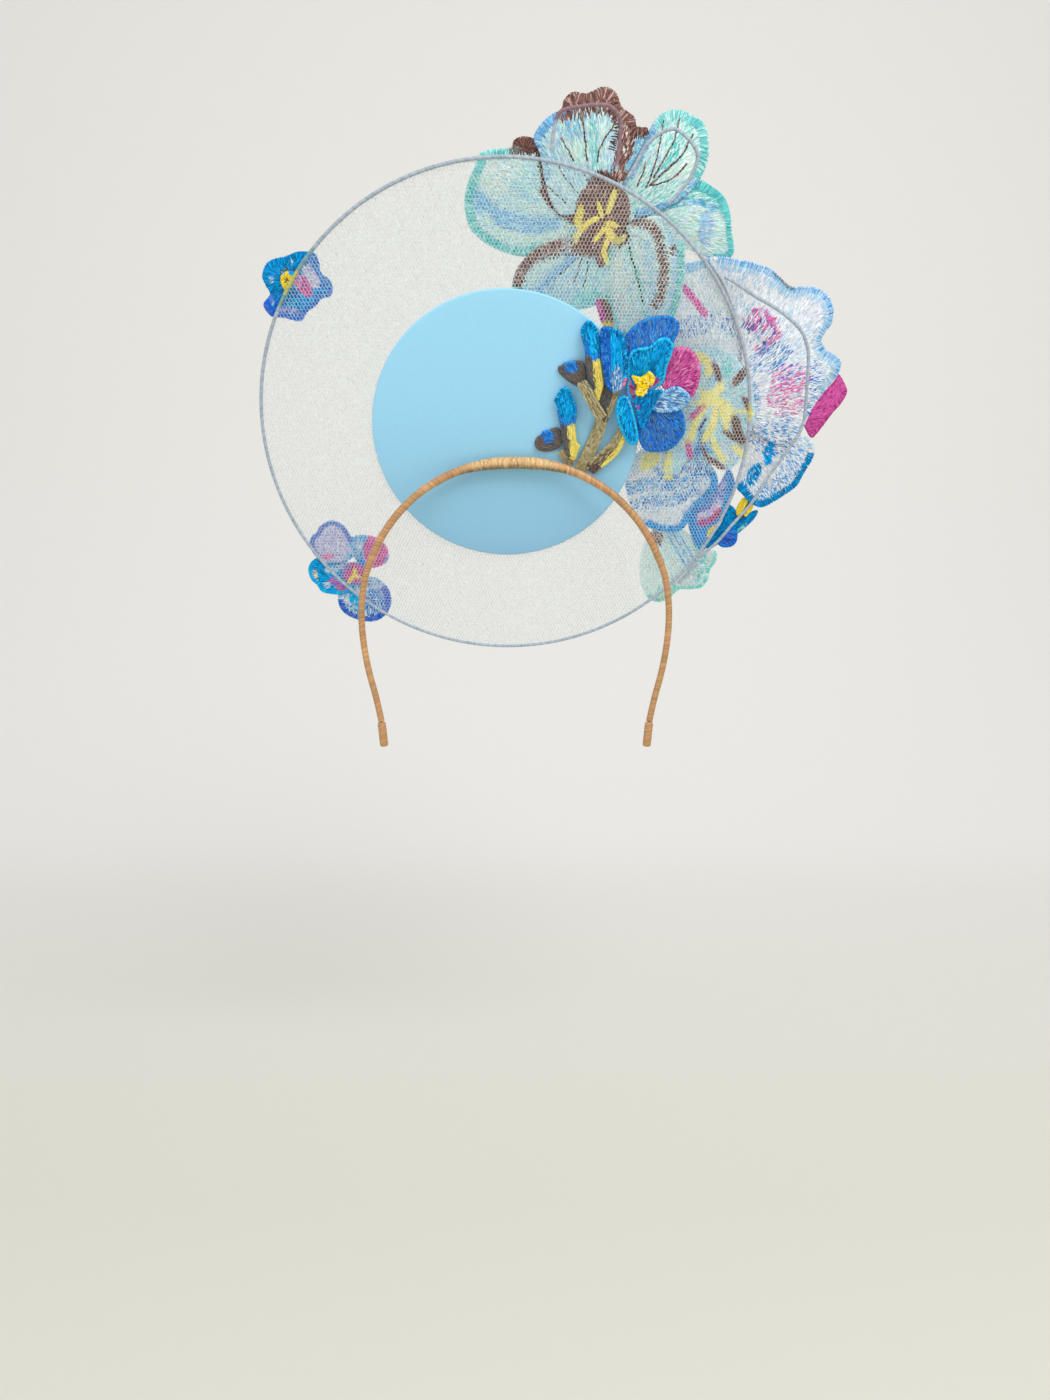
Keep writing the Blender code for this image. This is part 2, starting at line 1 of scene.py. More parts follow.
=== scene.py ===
"""Looks of the fascinator hat: embroidered petals as thread-covered cloth, a hexagonal net, bound
wires, a felt base and a thread-wound headband.

The places in the tables are seen from EYE in units of a view 1050 wide and 1400 high, as in the
model itself; seen_on_halo() and seen_on_band() carry them onto the leaning halo plane or the
upright plane of the headband.
"""

import math
from collections import namedtuple

import bpy
import numpy as np
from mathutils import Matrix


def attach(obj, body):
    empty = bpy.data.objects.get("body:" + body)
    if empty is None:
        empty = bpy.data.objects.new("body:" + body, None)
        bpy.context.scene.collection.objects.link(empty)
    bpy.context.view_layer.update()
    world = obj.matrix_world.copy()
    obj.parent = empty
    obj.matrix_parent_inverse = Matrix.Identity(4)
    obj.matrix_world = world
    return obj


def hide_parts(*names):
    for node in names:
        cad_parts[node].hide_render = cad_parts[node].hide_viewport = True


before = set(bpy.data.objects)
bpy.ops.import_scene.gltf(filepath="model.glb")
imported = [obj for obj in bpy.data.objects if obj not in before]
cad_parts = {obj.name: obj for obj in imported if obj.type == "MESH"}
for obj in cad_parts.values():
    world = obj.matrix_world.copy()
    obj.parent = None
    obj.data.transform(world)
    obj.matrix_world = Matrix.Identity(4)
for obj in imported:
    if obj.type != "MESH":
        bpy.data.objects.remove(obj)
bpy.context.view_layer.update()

MM = 0.001

# ---- the viewing point of the tables
EYE = np.array((0.005, -0.540, -0.0454))
EYE_DOWN = math.radians(7.59)
EYE_FOCAL = 1051.0
EYE_MIDDLE = (525.0, 700.0)
VIEW_UNIT = 0.514 * MM  # what one unit of the view covers at the halo

# ---- headband
BAND_BOUND_HALF = 23.0 * MM  # half length of the stretch that is bound to the base
BAND_MIDDLE_SEEN = 515.0
TIP_LENGTH, TIP_WIDTH, TIP_THICKNESS, TIP_ROUND = 13.0 * MM, 4.4 * MM, 4.0 * MM, 1.4 * MM

# ---- halo
LEAN = math.radians(22.5)
HALO_AT = np.array((0.0, 4.5, 3.5)) * MM
HALO_CENTRE = np.array((-4.6, 16.7)) * MM
BASE_RADIUS = 66.6 * MM
BASE_BACK, BASE_FRONT, BASE_ROUND = 0.3 * MM, -2.1 * MM, 0.8 * MM
NET_INNER, NET_OUTER = 66.3 * MM, 120.7 * MM
RIM_RADIUS = 121.4 * MM
WIRE_DIAMETER = 1.75 * MM
WIRE_BACK = -0.8 * MM
LAYER = 1.5 * MM
FRONT_LAYER_0, BACK_LAYER_0 = -3.1 * MM, 1.15 * MM
RIM_CURL, RIM_CURL_REACH = 4.0 * MM, 25.0 * MM

Cup = namedtuple("Cup", "across up reach depth")
FRONT_CUPS = (Cup(41.0, 99.6, 42.0, 4.5), Cup(99.0, 20.6, 44.0, 4.5))
BACK_CUPS = (Cup(66.0, 38.6, 22.0, 2.5),)

# ---- embroidery
CLOTH_HALF = 0.33 * MM  # half the thickness of the cloth under the stitches
FILL_WIDTH, FILL_LIFT = 0.47 * MM, 0.15 * MM
FILL_PITCH = {1: 0.76 * MM, -1: 1.0 * MM}  # grid pitch of the fill stitches on the back and front face
FILL_LENGTH = {1: (1.6 * MM, 3.2 * MM), -1: (2.2 * MM, 4.0 * MM)}
EDGE_PITCH, EDGE_WIDTH = 0.48 * MM, 0.62 * MM
CLOTH_PITCH = 1.9 * MM

# ---- colours as sRGB
NET_TINT = (232, 238, 238)
# painted light: the net's threads are painted with part of the colour of the cloth behind them, as light from it shows
# through
NET_TAKES = (0.40, 0.34)  # share of colour the net takes from cloth behind it: from black cloth, and what is added for white
GOLD, GOLD_LIT, GOLD_DARK = (193, 145, 96), (250, 208, 154), (108, 70, 46)
# painted light and shade: the felt is painted from a lit colour at the top to a shaded one at the bottom, standing in
# for light from above and the band's shadow
FELT_LIT_TOP, FELT_SHADED_BOTTOM = (157, 216, 243), (140, 190, 220)
WALL_TINT, FLOOR_TINT = (244, 243, 240), (222, 221, 210)
COLOURS = {
    "teal": (118, 212, 212), "deepteal": (80, 186, 192), "mint": (200, 240, 232), "sky": (160, 208, 238),
    "cornflower": (108, 170, 220), "brown": (124, 86, 79), "umber": (86, 60, 56), "russet": (154, 113, 104),
    "rosy": (206, 178, 172), "cream": (222, 238, 226), "soft": (254, 240, 140), "butter": (255, 247, 176), "stamen": (255, 216, 20),
    "amber": (236, 186, 44), "turquoise": (0, 168, 246), "aqua": (42, 200, 250), "deepturquoise": (0, 122, 180),
    "royal": (26, 106, 214), "navy": (32, 74, 152), "steel": (88, 130, 184), "magenta": (213, 90, 168),
    "pink": (231, 140, 192), "wine": (172, 52, 120), "pale": (214, 226, 242), "white": (242, 243, 246),
    "lilac": (196, 198, 232), "violet": (112, 120, 208), "khaki": (184, 172, 132), "drab": (146, 134, 98),
    "bark": (112, 100, 93), "lemon": (246, 224, 106), "straw": (226, 212, 118), "azure": (54, 146, 220),
    "slate": (84, 92, 100),
}

Petal = namedtuple("Petal", "name side layer root middle marks")
PETALS = (
    # teal flower
    Petal("teal_centre", -1, 0, (603, 216), (603, 214), (
        (583, 190), (598, 184), (612, 184), (626, 194), (630, 210), (625, 228), (612, 240),
        (606, 262), (598, 266), (592, 244), (580, 232), (575, 212))),
    Petal("teal_petal_top", -1, 1, (600, 225), (590, 150), (
        (560, 214), (550, 198), (544, 175), (540, 154), (534, 137), (546, 119), (561, 109),
        (564, 100), (573, 92), (587, 93.5), (603, 87), (615.5, 92), (622, 107), (634, 117),
        (637, 127), (648, 129), (641, 148), (630, 168), (620, 188), (605, 209), (590, 210), (575, 214))),
    Petal("teal_petal_left", -1, 2, (603, 218), (520, 200), (
        (541, 151), (552, 170), (566, 195), (582, 212), (580, 230), (560, 242), (541, 250),
        (525.7, 256.7), (508, 253.5), (493, 247.6), (480, 239), (470.6, 229), (466, 215),
        (464.5, 202.7), (467, 187), (473, 170), (481, 153), (498, 149), (511, 147.6), (514, 140.5),
        (521, 136.8), (530, 137.3), (538, 142))),
    Petal("teal_petal_corner", -1, 3, (610, 225), (664, 165), (
        (612, 212), (618, 195), (628, 172), (640, 150), (648, 133), (656.3, 119), (666.5, 111.8),
        (678.8, 109.8), (689, 113.9), (701, 120), (707.3, 133.3), (708.4, 155.7), (700, 179),
        (685, 196.5), (664.5, 208.8), (645, 216), (626, 222))),
    Petal("teal_petal_right", -1, 4, (610, 222), (690, 220), (
        (699, 180), (711.4, 186.3), (723.7, 196.5), (729.8, 212.9), (731.8, 233), (734, 249.6),
        (729.8, 257.5), (715, 260), (700, 254), (680, 247), (655, 240), (632, 234), (622, 226),
        (626, 215), (640, 208), (662, 198), (682, 186))),
    Petal("teal_petal_low_right", -1, 2, (608, 215), (645, 280), (
        (606, 238), (602, 262), (601, 285), (604, 305), (610, 325), (622, 338), (640, 342),
        (658, 336), (670, 324), (677, 310), (682, 292), (685, 270), (684, 245), (675, 224),
        (655, 216), (635, 222), (618, 230))),
    Petal("teal_petal_low_left", -1, 1, (604, 222), (560, 272), (
        (590, 236), (574, 236), (558.4, 239.4), (543, 245), (529.8, 253.7), (518, 267),
        (512.4, 286), (520, 300), (540, 308), (560, 311), (583, 309), (599, 303), (607, 290),
        (608, 270), (606, 252), (602, 240))),
    Petal("teal_centre_front", -1, 5, (603, 216), (602, 214), (
        (585, 198), (598, 190), (612, 191), (624, 202), (625, 220), (612, 234), (604, 247),
        (594, 240), (583, 228), (579, 212))),
    Petal("slip_bud", -1, 0, (601, 297), (605, 314), (
        (596, 301), (604, 299), (610, 306), (613, 318), (613, 329), (604, 327), (599, 315))),
    # pale flower
    Petal("pale_centre", -1, 0, (713, 400), (712, 405), (
        (690, 352), (715, 346), (738, 360), (750, 385), (755, 408), (750, 435), (742, 456),
        (728, 470), (714, 462), (700, 455), (686, 462), (676, 474), (664, 470), (668, 450),
        (676, 430), (674, 405), (680, 375))),
    Petal("pale_centre_front", -1, 4, (713, 404), (713, 408), (
        (698, 378), (716, 372), (734, 382), (744, 400), (740, 422), (730, 442), (714, 446),
        (698, 438), (686, 422), (686, 396))),
    Petal("pale_petal_right", -1, 1, (720, 405), (786, 352), (
        (722, 257), (740.4, 260), (757.9, 264), (771, 269.5), (780, 277), (791, 286.5),
        (807.4, 286.5), (820.8, 289.6), (830, 299), (833.5, 311), (831.5, 323), (824.8, 332.4),
        (821.5, 341), (826, 349.8), (836.9, 356.5), (841, 364), (836, 378), (824, 392),
        (813.5, 406), (806.5, 420), (799, 434), (785, 444), (768, 440), (750, 428), (736, 416),
        (734, 392), (741, 366), (741, 341), (734, 311), (722, 281), (709, 260))),
    Petal("pale_petal_upper", -1, 3, (712, 405), (712, 330), (
        (684, 266), (697, 261), (712, 257.5), (726, 258), (738, 266), (745, 285), (750, 310),
        (752, 340), (750, 370), (742, 392), (725, 392), (705, 393), (685, 392), (672, 380),
        (666, 360), (668, 335), (676, 310), (680, 286))),
    Petal("pale_petal_side", -1, 2, (735, 418), (778, 465), (
        (800, 434), (808, 438), (814, 446), (812.8, 457), (803.4, 474), (796.7, 486), (784.6, 495),
        (771, 503), (760.5, 507), (751, 503), (743, 495), (736.4, 486), (740, 467), (747, 447),
        (752, 430), (766, 422), (785, 426))),
    Petal("pale_petal_low", -1, 1, (718, 392), (672, 492), (
        (634, 456), (626, 475), (627, 495), (633, 508), (640, 516), (646, 526), (660, 531.3),
        (676, 532.7), (685.5, 526), (692, 514), (703, 503), (715, 491), (717.7, 479), (712, 466),
        (700, 452), (688, 440), (672, 438), (654, 443))),
    Petal("magenta_petal", -1, 2, (800, 420), (822, 406), (
        (838, 374), (845, 384.6), (847, 392.7), (841, 403.4), (832.8, 412.8), (818, 432),
        (811.4, 437.6), (806, 430), (802, 418), (806, 400), (815, 385), (828, 376))),
    # freesia spray on the back
    Petal("freesia_petal_back", 1, 0, (646, 384), (650, 340), (
        (624, 347), (626, 335), (637, 323), (651.5, 317), (667.3, 315.8), (677, 320.6),
        (679.4, 328), (675, 340), (666, 354), (650, 360), (632, 362))),
    Petal("freesia_petal_upper", 1, 1, (642, 394), (645, 370), (
        (627, 382), (627, 366), (628.5, 356), (635, 348.5), (649, 346), (658.8, 338.8), (667.3, 337.6),
        (673.3, 343.6), (672, 353.3), (667.3, 366.7), (664, 381), (656, 388), (648, 392), (641, 400),
        (633, 403), (627, 393))),
    Petal("freesia_petal_magenta", 1, 0, (652, 400), (681, 370), (
        (674, 349), (685.5, 347.5), (695, 354.5), (700, 366.7), (698.8, 382.4), (692, 397),
        (680, 394), (666, 390), (660, 380), (666, 364))),
    Petal("freesia_petal_pale", 1, 1, (640, 396), (667, 400), (
        (655, 400), (660, 394), (668, 389), (679.4, 387), (690.3, 397), (680.6, 409), (667.3, 412.7),
        (652.7, 410.3))),
    Petal("freesia_petal_low", 1, 0, (650, 396), (661, 428), (
        (650, 404), (664, 402), (679, 406), (685.5, 426), (679.4, 440.6), (667.3, 450.3),
        (649, 451.5), (640.6, 444.2), (637, 428.5), (641, 414))),
    Petal("freesia_petal_left", 1, 2, (616, 396), (614, 358), (
        (600.6, 331), (605, 326.5), (613, 328), (622, 333), (626, 348.5), (627.3, 368), (626, 384),
        (619, 391), (609, 390), (604, 375), (601, 352))),
    Petal("freesia_petal_front", 1, 2, (626, 392), (627, 419), (
        (623, 396), (617.5, 401), (616, 412), (618.5, 424.8), (624.8, 438.2), (632, 444.5),
        (638.2, 439.4), (636.6, 425), (633.2, 411), (629, 398))),
    Petal("freesia_petal_fold", 1, 2, (655, 385), (645, 402), (
        (635, 398), (646, 391.5), (662.4, 390), (658, 399), (651, 412), (642, 429), (636.5, 414))),
    Petal("freesia_stamens", 1, 3, (628, 396), (643, 384), (
        (632, 376), (641, 377), (650, 372), (655, 379), (649, 386), (643, 396), (636, 393), (637, 385))),
    Petal("bud_top", 1, 1, (600, 404), (593, 360), (
        (588, 320.5), (582.5, 326), (580.8, 333), (583, 343), (585.2, 352), (585.5, 365), (587.5, 378),
        (592, 386), (594.5, 394), (598.3, 401), (601.3, 393), (603.5, 384), (602, 370), (600.4, 359),
        (600.8, 347), (599.8, 337), (596.5, 328), (592.5, 322.5))),
    Petal("bud_second", 1, 0, (590, 386), (573, 370), (
        (558.3, 367), (562, 365.5), (565, 363), (572, 361.3), (578, 360.8), (583, 362.5), (586, 370),
        (586, 379), (582, 386.5), (577, 386), (570, 382.5), (564, 378), (559, 372.5))),
    Petal("bud_third", 1, 1, (574, 466), (567.5, 424), (
        (565.5, 387), (560, 390), (556, 397), (554, 401.5), (557, 404), (557.5, 412), (559, 420),
        (560.8, 428), (562, 440), (565, 450), (570, 458.5), (575, 459.5), (577.5, 452), (580, 446),
        (577, 442), (575.5, 432), (575, 424), (576.7, 416), (576, 406), (572.5, 396), (570, 390))),
    Petal("bud_low", 1, 0, (568, 448), (549, 438), (
        (535, 442), (537, 437.5), (541, 435), (543, 431.5), (549, 430), (553.5, 428.5), (558, 428.3),
        (561.5, 433), (562.3, 440), (560.5, 446.5), (555.5, 449.5), (548, 451.5), (540, 450.5),
        (536, 447.5))),
    # small pansy
    Petal("pansy_petals", -1, 1, (291, 281), (295, 286), (
        (262.5, 275.6), (266.7, 263.7), (275, 258.8), (285, 256.7), (298, 251.8), (313, 253.2),
        (318, 259), (321, 272), (330.5, 280.5), (332.6, 289.6), (330, 296), (320.7, 299.5),
        (315.8, 305.8), (307.4, 312), (303, 319), (297.5, 321.2), (285, 318), (272.3, 316.3),
        (265.3, 309.3), (263.9, 303), (270.2, 294), (266, 285.4))),
    Petal("pansy_heart", -1, 0, (290, 281), (290, 281), (
        (281, 276), (289, 271), (299, 275), (302, 284), (294, 291), (284, 289))),
    # flower on the lower left
    Petal("left_petal_lilac", -1, 1, (350, 572), (332, 543), (
        (309.6, 542.5), (311.8, 536.5), (316.5, 532.5), (319.5, 527), (324, 523), (331.5, 520.4),
        (338, 522), (343.8, 525.5), (347.8, 531), (351.5, 538), (355, 545), (356, 553), (350, 559),
        (338, 562), (322, 561), (312.5, 552))),
    Petal("left_petal_magenta", -1, 2, (354, 574), (368, 552), (
        (350, 539), (360, 535.5), (374, 537), (386, 546), (388, 560), (376, 567.5), (362, 566),
        (352.5, 554))),
    Petal("left_petal_turquoise", -1, 2, (356, 574), (333, 576), (
        (313.4, 560), (308.5, 569), (311.6, 579.5), (317.5, 585), (323.2, 592), (339, 594.6), (350, 592),
        (357, 583), (357.5, 572), (350, 562.5), (340, 557.5), (325, 556))),
    Petal("left_petal_low", -1, 3, (360, 574), (364, 598), (
        (340, 590), (338.4, 602), (343, 611.6), (353.6, 618), (368, 621.4), (382, 618), (391, 605),
        (388, 588), (374, 577), (356, 578))),
    Petal("left_heart", -1, 0, (353, 574), (353, 574), (
        (343, 570), (352, 562), (363, 566), (366, 576), (358, 585), (346, 582))),
    # flower on the lower right
    Petal("low_petal_violet", -1, 2, (716, 500), (708, 518), (
        (728, 469), (734, 478), (734, 492), (728, 505), (720, 522), (708, 545), (699, 549),
        (691, 535), (688, 518), (694, 507), (706, 497), (719, 484))),
    Petal("low_petal_turquoise", -1, 4, (706, 550), (733, 525), (
        (729, 505), (741, 514), (757, 510), (753, 520), (737, 534), (720, 543), (705, 551),
        (713, 536), (722, 522))),
    Petal("low_petal_royal", -1, 3, (722, 536), (728, 538), (
        (720, 536), (728, 530), (736, 531), (737, 539), (732, 546), (722, 547), (717, 542))),
    Petal("low_stamens", -1, 3, (740, 512), (744, 508), (
        (743, 498), (753, 504), (749, 513), (741, 518), (736, 511))),
    Petal("mint_petal", -1, 3, (656, 530), (680, 562), (
        (655, 528), (670, 526), (684, 530), (696, 541), (708, 549), (716.5, 552), (715.5, 562),
        (710.4, 569), (707.3, 580), (701, 587.3), (689, 589.4), (678.8, 589.4), (670.6, 596.5),
        (660, 601.6), (648, 598), (641, 584), (640, 562), (645, 542))),
)

Stem = namedtuple("Stem", "name layer route")
Place = namedtuple("Place", "across down width")
STEMS = (
    Stem("stem_main", 0, (
        Place(609.5, 387, 12.0), Place(609, 396, 16.0), Place(606, 408, 12.0), Place(602, 420, 10.0),
        Place(597.5, 433, 10.5), Place(592, 446, 11.0), Place(585, 460, 11.0), Place(581, 468, 11.0))),
    Stem("stem_branch", 2, (
        Place(582, 383, 8.0), Place(587, 392, 9.0), Place(593.5, 404, 9.0), Place(601.5, 417, 9.0))),
    Stem("stem_low", 0, (
        Place(563, 450.5, 10.0), Place(567, 457, 10.0), Place(571, 464, 8.0))),
    Stem("stem_side", 1, (
        Place(622.5, 427, 6.0), Place(620, 437, 9.0), Place(614.5, 447, 12.0), Place(605.5, 456, 13.0),
        Place(597, 463, 12.0), Place(591, 470, 9.0))),
)

Wire = namedtuple("Wire", "name marks")
WIRES = (
    Wire("top_petal_wire", ((551.5, 151), (554.3, 129), (560.4, 112), (578.8, 106.7), (603, 104.7),
                            (613.5, 108.8), (620.6, 121), (619.6, 141.4), (616.3, 171.5))),
    Wire("corner_petal_wire", ((628, 177.5), (636, 164), (646, 145.5), (660.4, 133.3), (674.7, 129),
                               (687, 137.3), (696, 149.6), (697, 161.8), (689, 180), (678, 193.5), (668.5, 204))),
    Wire("side_wire", ((724.5, 277), (733.7, 281.5), (755, 296), (774, 307), (790, 319), (802, 332),
                       (807.4, 347), (808.5, 360.5), (807.4, 380.6), (806, 400.7), (804, 420),
                       (799, 433.6), (791, 445.6), (780.6, 460.4), (768.6, 476.4), (754, 499.5),
                       (742, 514), (731.8, 525), (717.6, 541.4), (701, 556.7), (688, 573), (679, 583))),
)

# ---- stretches of wire whose thread takes on another colour
Stain = namedtuple("Stain", "wire colour width marks")
STAINS = (
    Stain("top_petal_wire", (140, 98, 106), 6.0, ((558, 116), (578.8, 106.7), (603, 104.7), (613.5, 108.8), (620.6, 121), (620, 141), (618, 160))),
    Stain("brim_wire", (112, 158, 160), 7.0, ((310, 253), (301, 264), (291, 280), (281, 302))),
    Stain("brim_wire", (196, 192, 92), 5.0, ((295.7, 275), (286.8, 290))),
    Stain("brim_wire", (172, 176, 188), 7.0, ((707, 254), (722, 280), (734, 310), (742, 345), (748, 390), (750, 449))),
    Stain("brim_wire", (214, 196, 90), 4.0, ((752, 408), (753, 418))),
)

Arch = namedtuple("Arch", "level half diameter")
ARCH = (
    Arch(462.0, 0.0, 6.2), Arch(462.6, 18.0, 6.2), Arch(465.0, 36.0, 5.5), Arch(469.5, 54.0, 4.6),
    Arch(477.5, 72.5, 4.2), Arch(492.0, 95.5, 4.0), Arch(511.0, 115.5, 4.0), Arch(530.0, 129.8, 4.0),
    Arch(548.0, 139.5, 3.9), Arch(574.0, 149.5, 3.6), Arch(600.0, 153.4, 3.5), Arch(624.0, 153.6, 3.5),
    Arch(648.0, 151.0, 3.5), Arch(671.0, 146.5, 3.5), Arch(695.0, 140.0, 3.5), Arch(712.0, 136.0, 3.5),
    Arch(720.5, 134.2, 3.5),
)
TIP_END = Arch(747.0, 131.3, 3.5)

# ---- thread colours of each petal, laid one over the other. all: everywhere. rim: within a width of
# the outline. line: within half a width of a route. spot: an ellipse (x, y, half width, half height,
# tilt in degrees). Each has colour names to choose from, and the share of stitches that take it.
Paint = namedtuple("Paint", "kind colours share size route")


def everywhere(colours, share=1.0):
    return Paint("all", colours, share, 0.0, ())


def rim(colours, width, share=1.0):
    return Paint("rim", colours, share, width, ())


def line(colours, width, route, share=1.0):
    return Paint("line", colours, share, width, route)


def spot(colours, x, y, half_width, half_height, tilt=0.0, share=1.0):
    return Paint("spot", colours, share, 0.0, (x, y, half_width, half_height, tilt))


